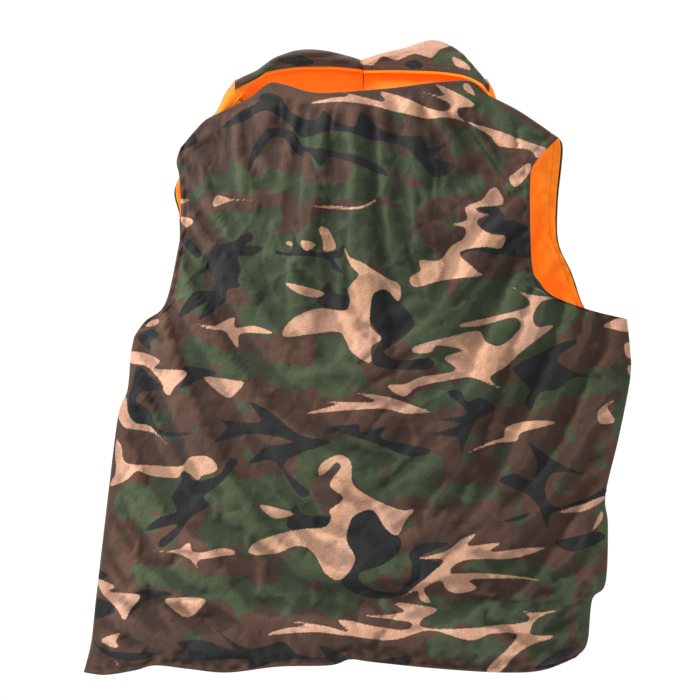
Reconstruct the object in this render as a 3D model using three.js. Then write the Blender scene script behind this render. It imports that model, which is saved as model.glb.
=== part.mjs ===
// Reversible padded vest, hanging from its shoulders and seen from behind at +Y.
// Millimetres, +Z up, wearer's left at +X, front at -Y. Heights are counted from the hem's
// lowest point, and the whole vest is lowered at the end so the origin is at the neck.
import * as THREE from 'three';
import { mergeVertices } from 'three/addons/utils/BufferGeometryUtils.js';

// Overall sizes
const neckHeight = 700;        // hem to the middle of the neck, where a hanger's hook stands
const centreX = -10;           // the front opening lies a little to the wearer's right
const layerGap = 0.3;          // clear air between two pieces that touch

// Layers, counted inwards from the outer face of the cloth
const shellThickness = 1.0;
const waddingThickness = 4.0;
const liningThickness = 1.0;
const shellIn = shellThickness;
const waddingOut = shellIn + layerGap;
const waddingIn = waddingOut + waddingThickness;
const liningOut = waddingIn + layerGap;
const liningIn = liningOut + liningThickness;
const seamDepth = liningIn + layerGap / 2;   // outer face to the plane where front meets back

// How far the back stands out behind the seam plane
const backBulge = 48;
const backRise = 260;          // height below the shoulders over which the bulge grows
const sideRound = 2.2;         // larger is flatter across the back
const crownHeight = 765;       // where the two shoulder lines would meet
const shoulderSlope = 0.25;
const leftShoulderDroop = 0.0016;
const rightShoulderDroop = 0.0009;

// Front: two leaves that fold open about a straight line on each side
const centreDepth = 45;        // front opening, ahead of the seam plane
const foldHemDepth = 32;       // fold line at the hem, ahead of the seam plane
const foldGap = 0.8;           // between the leaf and the side piece
const foldTop = { left: [150, 703], right: [-158, 706] };
const foldHem = { left: [232, 16], right: [-232, 14] };
const frontEdge = 6;           // cloth edge to the middle of the front opening
const frontNeckHeight = 668;
const frontHemHeight = 28;

// Collar, stood up and folded over inwards
const collarRoll = 9;          // outer radius of the fold
const collarSeamGap = 0.5;
const backCollarHeight = 45;
const backCollarSpan = [70, -95];
const backCollarGap = 3;       // back lining to the folded collar
const collarColumns = 10;      // cells along a collar piece
const backCollarRows = 3;
const foldSteps = 6;           // straight steps round the fold
const flapLeast = 2;           // the folded flap is at least this deep

// Zips
const rowInner = 1.6;          // teeth row from the zip's middle
const rowOuter = 4.2;
const rowHalfDepth = 1.3;
const tapeInner = 4.5;
const tapeHalfDepth = 0.35;
const mainTapeOuter = 11;
const zipRecess = 3.0;         // zip behind the cloth's edge, which slopes back from the opening
const pocketTapeOuter = 8.5;
const sliderLength = 11;
const sliderHalfWidth = 4.0;
const sliderPlate = 1.3;
const sliderSlot = 1.7;        // half the clear depth between the plates
const sliderWeb = 1.2;         // half the width of the web between the rows
const crownWidth = 3;
const crownLength = 8;
const crownLeg = 1.3;
const crownClear = 1.9;        // room for the pull's bar under the crown
const pullWidth = 7;
const pullLength = 26;
const pullThickness = 1.2;
const pullBar = 1.4;
const pullWindow = [4, 3.0];   // width and height of the hole below the bar
const mainZipLength = 636;
const mainSliderHeight = 8;    // slider's lower end above the zip's lower end
const pinLength = 14;
const stopLength = 3;
const boxLength = 6;
const zipFootRise = 2;         // hem of the front to the foot of the zip
const pinRise = 3;             // slider's upper end to the pin
const tapeBeyond = 2;          // tape above the top stops

// Pockets, each on a line on the side piece from its lower to its upper end
const pocketLine = {
  left: [[284, 222], [228, 357]],
  right: [[-296, 222], [-240, 357]],
};
const pocketStandoff = 6.6;    // shell to the middle of the zip tape, over the shell's curve
const weltWidth = 20;
const weltEnd = 8;             // welt beyond each end of the zip
const weltHole = 12;
const weltThickness = 3.0;
const weltHoleEnd = 2;         // hole beyond each end of the zip
const pocketSliderHeight = 6;
const bagThickness = 1.6;
const sideGrid = [4, 18];      // cells across and up a side piece
const bagCells = [[1, 3], [4, 10]];   // the cells behind which the bag lies
const backGrid = [14, 18];
const leafGrid = [7, 9];
const curveSamples = 120;      // places looked at to find an outline's height

// Outlines as [x, z], each from the hem or the wearer's left
const hem = [
  [329, 2], [302, 0], [265, 7], [239, 14], [198, 11], [152, 8], [91, 16], [30, 18], [6, 25],
  [-20, 22], [-101, 13], [-181, 6], [-227, 7], [-268, 20],
];
const leftSeam = [
  [329, 2], [320, 38], [314, 92], [304, 178], [298, 229], [287, 314], [276, 344], [272, 386],
  [268, 408],
];
const rightSeam = [
  [-268, 20], [-282, 38], [-288, 90], [-304, 110], [-307, 180], [-304, 217], [-320, 286],
  [-334, 358], [-334, 392], [-330, 430],
];
const backLeftArmhole = [
  [268, 408], [254, 427], [229, 448], [214, 510], [210, 542], [212, 598], [216, 620], [211, 638],
];
const backRightArmhole = [
  [-330, 430], [-288, 439], [-240, 456], [-222, 473], [-212, 498], [-211, 593], [-218, 619],
  [-247, 650],
];
const frontLeftArmhole = [
  [268, 408], [254, 427], [229, 448], [215, 510], [214, 555], [220, 584], [211, 610], [211, 638],
];
const frontRightArmhole = [
  [-330, 430], [-296, 436], [-280, 443], [-264, 486], [-248, 523], [-247, 571], [-253, 636],
  [-247, 650],
];
const backTop = [
  [211, 638], [185, 668], [169, 678], [128, 698], [104, 716], [84, 713], [42, 702], [-36, 707],
  [-90, 715], [-138, 719], [-162, 702], [-200, 682], [-247, 650],
];
const leftShoulder = [foldTop.left, [169, 680], [185, 668], [211, 638]];
const rightShoulder = [foldTop.right, [-167, 697], [-200, 682], [-247, 650]];
const leftNeck = [foldTop.left, [110, 684], [60, 672], [centreX + frontEdge, frontNeckHeight]];
const rightNeck = [foldTop.right, [-118, 686], [-70, 672], [centreX - frontEdge, frontNeckHeight]];
const leftCollarFold = [[142, 721], [118, 734], [94, 751], [59, 761], [20, 757], [-9, 750]];
const rightCollarFold = [
  [-152, 728], [-144, 738], [-125, 758], [-96, 771], [-61, 763], [-36, 758], [-11, 751],
];
const leftCollarEdge = [[142, 712], [118, 727], [78, 737], [30, 740], [-9, 738]];
const rightCollarEdge = [[-152, 716], [-126, 728], [-78, 734], [-11, 737]];

// Materials
function cloth(color) {
  return new THREE.MeshStandardMaterial({ color, roughness: 0.9, metalness: 0 });
}

function metal(color) {
  return new THREE.MeshStandardMaterial({ color, roughness: 0.4, metalness: 0.9 });
}

const camouflage = cloth(0x4a4334);
const orange = cloth(0xff7410);
const filling = cloth(0xeeeae0);
const tape = cloth(0x2a2c26);
const bagCloth = cloth(0x3a3b33);
const teeth = metal(0x6a5f48);
const darkMetal = metal(0x3b3a38);

const vest = new THREE.Group();
vest.position.z = -neckHeight;

function addMesh(name, geometry, material, parent = vest) {
  const mesh = new THREE.Mesh(geometry, material);
  mesh.name = name;
  parent.add(mesh);
}

// Curves through outline points
function spline(points) {
  const curve = new THREE.SplineCurve(points.map(([x, z]) => new THREE.Vector2(x, z)));
  return (t) => curve.getPointAt(Math.min(Math.max(t, 0), 1));
}

// Height of an outline that runs across the vest, at one x
function heightAt(points, x) {
  const line = spline(points);
  let best = line(0);
  for (let i = 1; i <= curveSamples; i += 1) {
    const point = line(i / curveSamples);
    if (Math.abs(point.x - x) < Math.abs(best.x - x)) best = point;
  }
  return best.y;
}

// Two curves end to end, the first taking the stated share of the way
function joined(first, second, share) {
  const low = spline(first);
  const high = spline(second);
  return (t) => (t < share ? low(t / share) : high((t - share) / (1 - share)));
}

function straight(a, b) {
  return (t) => new THREE.Vector2(a[0], a[1]).lerp(new THREE.Vector2(b[0], b[1]), t);
}

// A patch filled in between four edges
function patch(bottom, top, start, end) {
  const corners = [bottom(0), bottom(1), top(0), top(1)];
  return (u, v) => {
    const across = start(v).multiplyScalar(1 - u).addScaledVector(end(v), u);
    const up = bottom(u).multiplyScalar(1 - v).addScaledVector(top(u), v);
    return across.add(up)
      .addScaledVector(corners[0], -(1 - u) * (1 - v))
      .addScaledVector(corners[1], -u * (1 - v))
      .addScaledVector(corners[2], -(1 - u) * v)
      .addScaledVector(corners[3], -u * v);
  };
}

// Depth of the outer faces from the seam plane
function sideEdge(side, z) {
  const seam = side > 0 ? leftSeam : rightSeam;
  const last = seam[seam.length - 1];
  if (z >= last[1]) return Math.abs(last[0]);
  let index = 1;
  while (index < seam.length - 1 && seam[index][1] < z) index += 1;
  const [x0, z0] = seam[index - 1];
  const [x1, z1] = seam[index];
  return Math.abs(THREE.MathUtils.mapLinear(Math.max(z, z0), z0, z1, x0, x1));
}

function backDepth(x, z) {
  const droop = x > 0 ? leftShoulderDroop : rightShoulderDroop;
  const shoulder = crownHeight - shoulderSlope * Math.abs(x) - droop * x * x;
  const below = THREE.MathUtils.clamp((shoulder - z) / backRise, 0, 1);
  const edge = sideEdge(x, z);
  const inside = THREE.MathUtils.clamp((edge - Math.abs(x)) / edge, 0, 1);
  const across = 1 - (1 - inside) ** sideRound;
  return seamDepth + backBulge * across * (1 - (1 - below) ** 2);
}

function foldX(side, z) {
  const top = side > 0 ? foldTop.left : foldTop.right;
  const low = side > 0 ? foldHem.left : foldHem.right;
  return THREE.MathUtils.mapLinear(z, low[1], top[1], low[0], top[0]);
}

function foldDepth(side, z) {
  const top = side > 0 ? foldTop.left : foldTop.right;
  const low = side > 0 ? foldHem.left : foldHem.right;
  return THREE.MathUtils.mapLinear(z, low[1], top[1], foldHemDepth, seamDepth);
}

function frontDepth(x, z) {
  const side = x > centreX ? 1 : -1;
  const fold = foldX(side, z);
  const depth = foldDepth(side, z);
  if (Math.abs(x) <= Math.abs(fold)) {
    return THREE.MathUtils.mapLinear(x, centreX, fold, centreDepth, depth);
  }
  const edge = sideEdge(side, z);
  const out = THREE.MathUtils.clamp((Math.abs(x) - Math.abs(fold)) / (edge - Math.abs(fold)), 0, 1);
  return THREE.MathUtils.lerp(depth, seamDepth, out);
}

// A closed body from two matching grids of points, the second one behind the first
function bodyBetween(first, second, across, up) {
  const positions = [];
  for (const face of [first, second]) {
    for (let j = 0; j <= up; j += 1) {
      for (let i = 0; i <= across; i += 1) {
        const point = face(i / across, j / up);
        positions.push(point.x, point.y, point.z);
      }
    }
  }
  const row = across + 1;
  const other = row * (up + 1);
  const index = [];
  const quad = (a, b, c, d) => index.push(a, b, c, a, c, d);
  for (let j = 0; j < up; j += 1) {
    for (let i = 0; i < across; i += 1) {
      const a = j * row + i;
      quad(a, a + 1, a + row + 1, a + row);
      quad(other + a, other + a + row, other + a + row + 1, other + a + 1);
    }
  }
  for (let i = 0; i < across; i += 1) {
    const last = up * row + i;
    quad(i, other + i, other + i + 1, i + 1);
    quad(last, last + 1, other + last + 1, other + last);
  }
  for (let j = 0; j < up; j += 1) {
    const a = j * row;
    const b = a + across;
    quad(a, a + row, other + a + row, other + a);
    quad(b, other + b, other + b + row, b + row);
  }
  const geometry = new THREE.BufferGeometry();
  geometry.setAttribute('position', new THREE.Float32BufferAttribute(positions, 3));
  geometry.setIndex(index);
  if (signedVolume(geometry) < 0) {
    for (let i = 0; i < index.length; i += 3) {
      const swap = index[i];
      index[i] = index[i + 1];
      index[i + 1] = swap;
    }
    geometry.setIndex(index);
  }
  return geometry;
}

function signedVolume(geometry) {
  const position = geometry.getAttribute('position');
  const index = geometry.getIndex();
  const corners = [new THREE.Vector3(), new THREE.Vector3(), new THREE.Vector3()];
  let volume = 0;
  for (let i = 0; i < index.count; i += 3) {
    corners.forEach((corner, k) => corner.fromBufferAttribute(position, index.getX(i + k)));
    volume += corners[0].dot(corners[1].clone().cross(corners[2])) / 6;
  }
  return volume;
}

// One layer of cloth: part of a patch, between two distances inside the outer face
function layer(name, material, outline, depthAt, outward, distances, grid, range) {
  const [[u0, u1], [v0, v1]] = range;
  const faceAt = (distance) => (s, t) => {
    const point = outline(THREE.MathUtils.lerp(u0, u1, s), THREE.MathUtils.lerp(v0, v1, t));
    const y = outward * (depthAt(point.x, point.y) - distance);
    return new THREE.Vector3(point.x, y, point.y);
  };
  const body = bodyBetween(faceAt(distances[0]), faceAt(distances[1]), grid[0], grid[1]);
  addMesh(name, body, material);
}

const whole = [[0, 1], [0, 1]];
const shellLayer = [0, shellIn];
const waddingLayer = [waddingOut, waddingIn];
const liningLayer = [liningOut, liningIn];
const seamShare = 0.62;        // of each side edge, the part that is seam below the armhole

// Back: shell, wadding and lining
const backOutline = patch(
  spline(hem),
  spline(backTop),
  joined(leftSeam, backLeftArmhole, seamShare),
  joined(rightSeam, backRightArmhole, seamShare),
);
layer('back_shell', camouflage, backOutline, backDepth, 1, shellLayer, backGrid, whole);
layer('back_wadding', filling, backOutline, backDepth, 1, waddingLayer, backGrid, whole);
layer('back_lining', orange, backOutline, backDepth, 1, liningLayer, backGrid, whole);

// Back collar, folded down inside the neck behind the back lining
function backCollarFace(distance) {
  return (s, t) => {
    const x = THREE.MathUtils.lerp(backCollarSpan[0], backCollarSpan[1], s);
    const z = heightAt(backTop, x) - t * backCollarHeight;
    return new THREE.Vector3(x, backDepth(x, z) - distance, z);
  };
}

function backCollarLayer(name, material, outer, thickness) {
  const inner = outer + thickness;
  const body = bodyBetween(backCollarFace(outer), backCollarFace(inner), collarColumns,
    backCollarRows);
  addMesh(name, body, material);
}

const backCollarOut = liningIn + backCollarGap;
backCollarLayer('collar_back_shell', camouflage, backCollarOut, shellThickness);
backCollarLayer('collar_back_lining', orange, backCollarOut + shellThickness + layerGap,
  liningThickness);

// Front pieces, one set for each side
const sides = [
  {
    name: 'left', sign: 1, seam: leftSeam, armhole: frontLeftArmhole, shoulder: leftShoulder,
    neck: leftNeck, fold: leftCollarFold, edge: leftCollarEdge, corner: leftSeam[0],
  },
  {
    name: 'right', sign: -1, seam: rightSeam, armhole: frontRightArmhole, shoulder: rightShoulder,
    neck: rightNeck, fold: rightCollarFold, edge: rightCollarEdge, corner: rightSeam[0],
  },
];

function frontSide(side) {
  const { name, sign } = side;
  const shift = sign * foldGap / 2;
  const top = [foldTop[name][0] + shift, foldTop[name][1]];
  const low = [foldHem[name][0] + shift, foldHem[name][1]];
  const shoulder = [top, ...side.shoulder.slice(1)];
  const outline = patch(
    straight(low, side.corner),
    spline(shoulder),
    straight(low, top),
    joined(side.seam, side.armhole, seamShare),
  );
  const innerWadding = [waddingOut + bagThickness + layerGap, waddingIn];
  layer(`${name}_side_shell`, camouflage, outline, frontDepth, -1, shellLayer, sideGrid, whole);
  layer(`${name}_side_wadding`, filling, outline, frontDepth, -1, innerWadding, sideGrid, whole);
  layer(`${name}_side_lining`, orange, outline, frontDepth, -1, liningLayer, sideGrid, whole);
  const bagDistances = [waddingOut, waddingOut + bagThickness];
  const bagGrid = bagCells.map(([first, last]) => last - first);
  const bagRange = bagCells.map(([first, last], k) => [first / sideGrid[k], last / sideGrid[k]]);
  layer(`${name}_pocket_bag`, bagCloth, outline, frontDepth, -1, bagDistances, bagGrid, bagRange);
}

function frontLeaf(side) {
  const { name, sign } = side;
  const shift = -sign * foldGap / 2;
  const top = [foldTop[name][0] + shift, foldTop[name][1]];
  const low = [foldHem[name][0] + shift, foldHem[name][1]];
  const edgeX = centreX + sign * frontEdge;
  const outline = patch(
    straight([edgeX, frontHemHeight], low),
    spline([...side.neck.slice(1).reverse(), top]),
    straight([edgeX, frontHemHeight], [edgeX, frontNeckHeight]),
    straight(low, top),
  );
  // The wadding leaves out the first column of cells, where the zip is sewn in
  const zipRoom = [[1 / leafGrid[0], 1], [0, 1]];
  const padGrid = [leafGrid[0] - 1, leafGrid[1]];
  layer(`${name}_front_shell`, camouflage, outline, frontDepth, -1, shellLayer, leafGrid, whole);
  layer(`${name}_front_wadding`, filling, outline, frontDepth, -1, waddingLayer, padGrid, zipRoom);
  layer(`${name}_front_lining`, orange, outline, frontDepth, -1, liningLayer, leafGrid, whole);
}

// Collar half: up from the neck seam, over the fold and down to its free edge
function collarHalf(side) {
  const { name } = side;
  const startX = side.fold[0][0];
  const endX = side.fold[side.fold.length - 1][0];
  const face = (distance) => (s, t) => {
    const x = THREE.MathUtils.lerp(startX, endX, s);
    const seamZ = heightAt(side.neck, x) + collarSeamGap;
    const standY = -frontDepth(x, heightAt(side.neck, x));
    const middleZ = heightAt(side.fold, x) - collarRoll;
    const radius = collarRoll - distance;
    const middleY = standY + collarRoll;
    const step = Math.round(t * (foldSteps + 2));
    if (step === 0) return new THREE.Vector3(x, standY + distance, seamZ);
    if (step === foldSteps + 2) {
      return new THREE.Vector3(x, middleY + radius, Math.min(heightAt(side.edge, x), middleZ - flapLeast));
    }
    const angle = Math.PI * (1 - (step - 1) / foldSteps);
    return new THREE.Vector3(x, middleY + radius * Math.cos(angle),
      middleZ + radius * Math.sin(angle));
  };
  const liningStart = shellThickness + layerGap;
  const steps = foldSteps + 2;
  const liningEnd = liningStart + liningThickness;
  const shell = bodyBetween(face(0), face(shellThickness), collarColumns, steps);
  const lining = bodyBetween(face(liningStart), face(liningEnd), collarColumns, steps);
  addMesh(`${name}_collar_shell`, shell, camouflage);
  addMesh(`${name}_collar_lining`, lining, orange);
}

// Zip pieces in a frame of their own: x across, z along the zip, outwards at -y
function bar(x, y, z) {
  const geometry = new THREE.BoxGeometry(x[1] - x[0], y[1] - y[0], z[1] - z[0]);
  geometry.translate((x[0] + x[1]) / 2, (y[0] + y[1]) / 2, (z[0] + z[1]) / 2);
  return geometry;
}

function mirrored(range, sign) {
  return sign > 0 ? range : [-range[1], -range[0]];
}

function zipSide(parent, name, sign, tapeOuter, length, rowRange) {
  const tapeX = mirrored([tapeInner, tapeOuter], sign);
  const rowX = mirrored([rowInner, rowOuter], sign);
  addMesh(`${name}_tape`, bar(tapeX, [-tapeHalfDepth, tapeHalfDepth], [0, length]), tape, parent);
  addMesh(`${name}_teeth`, bar(rowX, [-rowHalfDepth, rowHalfDepth], rowRange), teeth, parent);
}

function outlineShape(points) {
  return new THREE.Shape(points.map(([x, y]) => new THREE.Vector2(x, y)));
}

function zipSlider(parent, name, height) {
  const plateTop = sliderSlot + sliderPlate;
  const h = sliderHalfWidth;
  const body = outlineShape([
    [-h, -plateTop], [h, -plateTop], [h, -sliderSlot], [sliderWeb, -sliderSlot],
    [sliderWeb, sliderSlot], [h, sliderSlot], [h, plateTop], [-h, plateTop],
    [-h, sliderSlot], [-sliderWeb, sliderSlot], [-sliderWeb, -sliderSlot], [-h, -sliderSlot],
  ]);
  const extrusion = { depth: sliderLength, bevelEnabled: false };
  const bodyGeometry = new THREE.ExtrudeGeometry(body, extrusion);
  bodyGeometry.translate(0, 0, height);
  addMesh(`${name}_slider`, bodyGeometry, darkMetal, parent);

  // Crown: an arch over the front plate, drawn from the side and given its width
  const foot = plateTop + layerGap;
  const roof = plateTop + crownClear;
  const top = roof + crownLeg;
  const arch = outlineShape([
    [foot, 0], [top, 0], [top, crownLength], [foot, crownLength],
    [foot, crownLength - crownLeg], [roof, crownLength - crownLeg], [roof, crownLeg],
    [foot, crownLeg],
  ]);
  const crown = new THREE.ExtrudeGeometry(arch, { depth: crownWidth, bevelEnabled: false });
  crown.translate(0, 0, -crownWidth / 2);
  const sideways = new THREE.Matrix4().makeBasis(
    new THREE.Vector3(0, -1, 0),
    new THREE.Vector3(0, 0, 1),
    new THREE.Vector3(-1, 0, 0),
  );
  crown.applyMatrix4(sideways);
  const crownFoot = height + (sliderLength - crownLength) / 2;
  crown.translate(0, 0, crownFoot);
  addMesh(`${name}_crown`, crown, darkMetal, parent);

  // Pull: a tab with a window under the bar that turns in the crown
  const pivotY = -(plateTop + crownClear / 2);
  const pivotZ = crownFoot + crownLeg + pullBar / 2 + layerGap;
  const half = pullWidth / 2;
  const tip = pullBar / 2 - pullLength;
  const tab = new THREE.Shape();
  tab.moveTo(-half, pullBar / 2);
  tab.lineTo(-half, tip + half);
  tab.absarc(0, tip + half, half, Math.PI, 2 * Math.PI, false);
  tab.lineTo(half, pullBar / 2);
  tab.closePath();
  const [windowWidth, windowHeight] = pullWindow;
  const low = -pullBar / 2 - windowHeight;
  const hole = outlineShape([
    [-windowWidth / 2, low], [windowWidth / 2, low],
    [windowWidth / 2, -pullBar / 2], [-windowWidth / 2, -pullBar / 2],
  ]);
  tab.holes.push(hole);
  const pull = new THREE.ExtrudeGeometry(tab, {
    depth: pullThickness, bevelEnabled: false, curveSegments: 8,
  });
  pull.translate(0, 0, -pullThickness / 2);
  pull.rotateX(Math.PI / 2);
  pull.translate(0, pivotY, pivotZ);
  addMesh(`${name}_pull`, pull, darkMetal, parent);
}

// Front zip, parted: the slider waits at the foot of the right row, above the box
function frontZip() {
  const zip = new THREE.Group();
  const tapeDepth = centreDepth - shellThickness - layerGap - tapeHalfDepth - zipRecess;
  zip.position.set(centreX, -tapeDepth, frontHemHeight + zipFootRise);
  vest.add(zip);
  const pinFoot = mainSliderHeight + sliderLength + pinRise;
  const rowTop = mainZipLength - stopLength - tapeBeyond;
  const leftRow = [pinFoot + pinLength + layerGap, rowTop];
  const rightRow = [boxLength + layerGap, rowTop];
  zipSide(zip, 'left_zip', 1, mainTapeOuter, mainZipLength, leftRow);
  zipSide(zip, 'right_zip', -1, mainTapeOuter, mainZipLength, rightRow);
  const rowX = [rowInner, rowOuter];
  const rowY = [-rowHalfDepth, rowHalfDepth];
  addMesh('zip_pin', bar(rowX, rowY, [pinFoot, pinFoot + pinLength]), darkMetal, zip);
  addMesh('zip_box', bar([-rowOuter, rowInner], rowY, [0, boxLength]), darkMetal, zip);
  const stopRange = [rowTop + layerGap, rowTop + layerGap + stopLength];
  for (const [name, sign] of [['left', 1], ['right', -1]]) {
    addMesh(`${name}_zip_stop`, bar(mirrored(rowX, sign), rowY, stopRange), darkMetal, zip);
  }
  zipSlider(zip, 'front', mainSliderHeight);
}

// Pocket zip on its welt, laid along a line on the side piece
function pocketZip(side) {
  const { name } = side;
  const onShell = (x, z) => new THREE.Vector3(x, -frontDepth(x, z), z);
  const ends = pocketLine[name].map(([x, z]) => onShell(x, z));
  const along = ends[1].clone().sub(ends[0]);
  const length = along.length();
  along.normalize();
  const middle = ends[0].clone().lerp(ends[1], 0.5);
  const reach = weltWidth / 2;
  const near = onShell(middle.x - reach * along.z, middle.z + reach * along.x);
  const far = onShell(middle.x + reach * along.z, middle.z - reach * along.x);
  const inwards = along.clone().cross(far.sub(near)).normalize();
  const across = inwards.clone().cross(along);
  const zip = new THREE.Group();
  zip.setRotationFromMatrix(new THREE.Matrix4().makeBasis(across, inwards, along));
  zip.position.copy(ends[0]).addScaledVector(inwards, -pocketStandoff);
  vest.add(zip);

  const half = weltWidth / 2;
  const welt = outlineShape([
    [-half, -weltEnd], [half, -weltEnd], [half, length + weltEnd], [-half, length + weltEnd],
  ]);
  const holeHalf = weltHole / 2;
  welt.holes.push(outlineShape([
    [-holeHalf, -weltHoleEnd], [holeHalf, -weltHoleEnd],
    [holeHalf, length + weltHoleEnd], [-holeHalf, length + weltHoleEnd],
  ]));
  const extrusion = { depth: weltThickness, bevelEnabled: false };
  const weltGeometry = new THREE.ExtrudeGeometry(welt, extrusion);
  weltGeometry.rotateX(Math.PI / 2);
  weltGeometry.translate(0, tapeHalfDepth + layerGap + weltThickness, 0);
  addMesh(`${name}_pocket_welt`, weltGeometry, camouflage, zip);
  zipSide(zip, `${name}_pocket_rear`, 1, pocketTapeOuter, length, [0, length]);
  zipSide(zip, `${name}_pocket_front`, -1, pocketTapeOuter, length, [0, length]);
  zipSlider(zip, `${name}_pocket`, pocketSliderHeight);
}

for (const side of sides) {
  frontSide(side);
  frontLeaf(side);
  collarHalf(side);
  pocketZip(side);
}
frontZip();

// Shared corners become one vertex, so that every mesh is one closed body
vest.traverse((object) => {
  if (!object.isMesh) return;
  object.geometry.deleteAttribute('normal');
  object.geometry.deleteAttribute('uv');
  object.geometry = mergeVertices(object.geometry, 1e-4);
});

export default vest;
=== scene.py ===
import math

import bpy
import numpy as np
from mathutils import Matrix, Vector


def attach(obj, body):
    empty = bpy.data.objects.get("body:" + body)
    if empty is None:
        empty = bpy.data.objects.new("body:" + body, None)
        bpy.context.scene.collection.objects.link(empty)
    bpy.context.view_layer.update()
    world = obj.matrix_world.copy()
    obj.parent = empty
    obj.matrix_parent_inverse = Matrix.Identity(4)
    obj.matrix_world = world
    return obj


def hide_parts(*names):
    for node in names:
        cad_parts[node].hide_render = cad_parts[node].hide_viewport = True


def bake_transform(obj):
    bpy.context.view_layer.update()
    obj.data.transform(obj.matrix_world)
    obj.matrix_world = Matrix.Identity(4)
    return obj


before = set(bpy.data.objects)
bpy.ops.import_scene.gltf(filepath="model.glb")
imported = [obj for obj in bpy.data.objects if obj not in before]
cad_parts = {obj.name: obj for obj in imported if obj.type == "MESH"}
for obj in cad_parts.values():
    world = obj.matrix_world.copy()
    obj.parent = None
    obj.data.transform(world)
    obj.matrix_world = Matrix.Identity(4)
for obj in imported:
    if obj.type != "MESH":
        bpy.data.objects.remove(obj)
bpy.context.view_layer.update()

# Reversible padded vest, camouflage cloth out and blaze orange inside, hanging and seen from behind.
# Lengths are in millimetres until a mesh is made. Heights are counted from the hem's lowest point,
# and the frame's origin is at the neck. The back faces +Y and the wearer's left is +X.

neckHeight = 700
centreX = -10
seamDepth = 6.75      # outer face to the plane where front and back are sewn together
padThickness = 6.6    # outer face of the shell to inner face of the lining
body = {
    "backBulge": 48, "backRise": 260, "sideRound": 2.2, "crownHeight": 765, "slope": 0.25,
    "leftDroop": 0.0016, "rightDroop": 0.0009, "centreDepth": 45, "foldHemDepth": 32,
    "frontEdge": 6, "frontNeckHeight": 668, "frontHemHeight": 28, "seamShare": 0.62,
}
foldTop = {1: (150, 703), -1: (-158, 706)}   # the line that a front opens about, by side
foldHem = {1: (232, 16), -1: (-232, 14)}

# Outlines, each from the hem up or from the wearer's left
hem = [
    (329, 2), (302, 0), (265, 7), (239, 14), (198, 11), (152, 8), (91, 16), (30, 18), (6, 25),
    (-20, 22), (-101, 13), (-181, 6), (-227, 7), (-268, 20),
]
sideSeam = {
    1: [
        (329, 2), (320, 38), (314, 92), (304, 178), (298, 229), (287, 314), (276, 344),
        (272, 386), (268, 408),
    ],
    -1: [
        (-268, 20), (-282, 38), (-288, 90), (-304, 110), (-307, 180), (-304, 217), (-320, 286),
        (-334, 358), (-334, 392), (-330, 430),
    ],
}
backArmhole = {
    1: [
        (268, 408), (254, 427), (229, 448), (214, 510), (210, 542), (212, 598), (216, 620),
        (211, 638),
    ],
    -1: [
        (-330, 430), (-288, 439), (-240, 456), (-222, 473), (-212, 498), (-211, 593),
        (-218, 619), (-247, 650),
    ],
}
frontArmhole = {
    1: [
        (268, 408), (254, 427), (229, 448), (215, 510), (214, 555), (220, 584), (211, 610),
        (211, 638),
    ],
    -1: [
        (-330, 430), (-296, 436), (-280, 443), (-264, 486), (-248, 523), (-247, 571),
        (-253, 636), (-247, 650),
    ],
}
backTop = [
    (211, 638), (185, 668), (169, 678), (128, 698), (104, 716), (84, 713), (42, 702), (-36, 707),
    (-90, 715), (-138, 719), (-162, 702), (-200, 682), (-247, 650),
]
shoulder = {
    1: [foldTop[1], (169, 680), (185, 668), (211, 638)],
    -1: [foldTop[-1], (-167, 697), (-200, 682), (-247, 650)],
}
neckLine = {
    1: [foldTop[1], (110, 684), (60, 672), (centreX + 6, 668)],
    -1: [foldTop[-1], (-118, 686), (-70, 672), (centreX - 6, 668)],
}
collarFold = {
    1: [(147, 716), (142, 721), (118, 734), (94, 751), (59, 761), (20, 757), (-9, 750)],
    -1: [
        (-164, 713), (-152, 728), (-144, 738), (-125, 758), (-96, 771), (-61, 763), (-36, 758),
        (-11, 751),
    ],
}
collarEdge = {
    1: [(147, 706), (142, 712), (118, 727), (78, 737), (30, 740), (-9, 738)],
    -1: [(-164, 704), (-152, 716), (-126, 728), (-78, 734), (-11, 737)],
}
sideName = {1: "left", -1: "right"}

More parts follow.
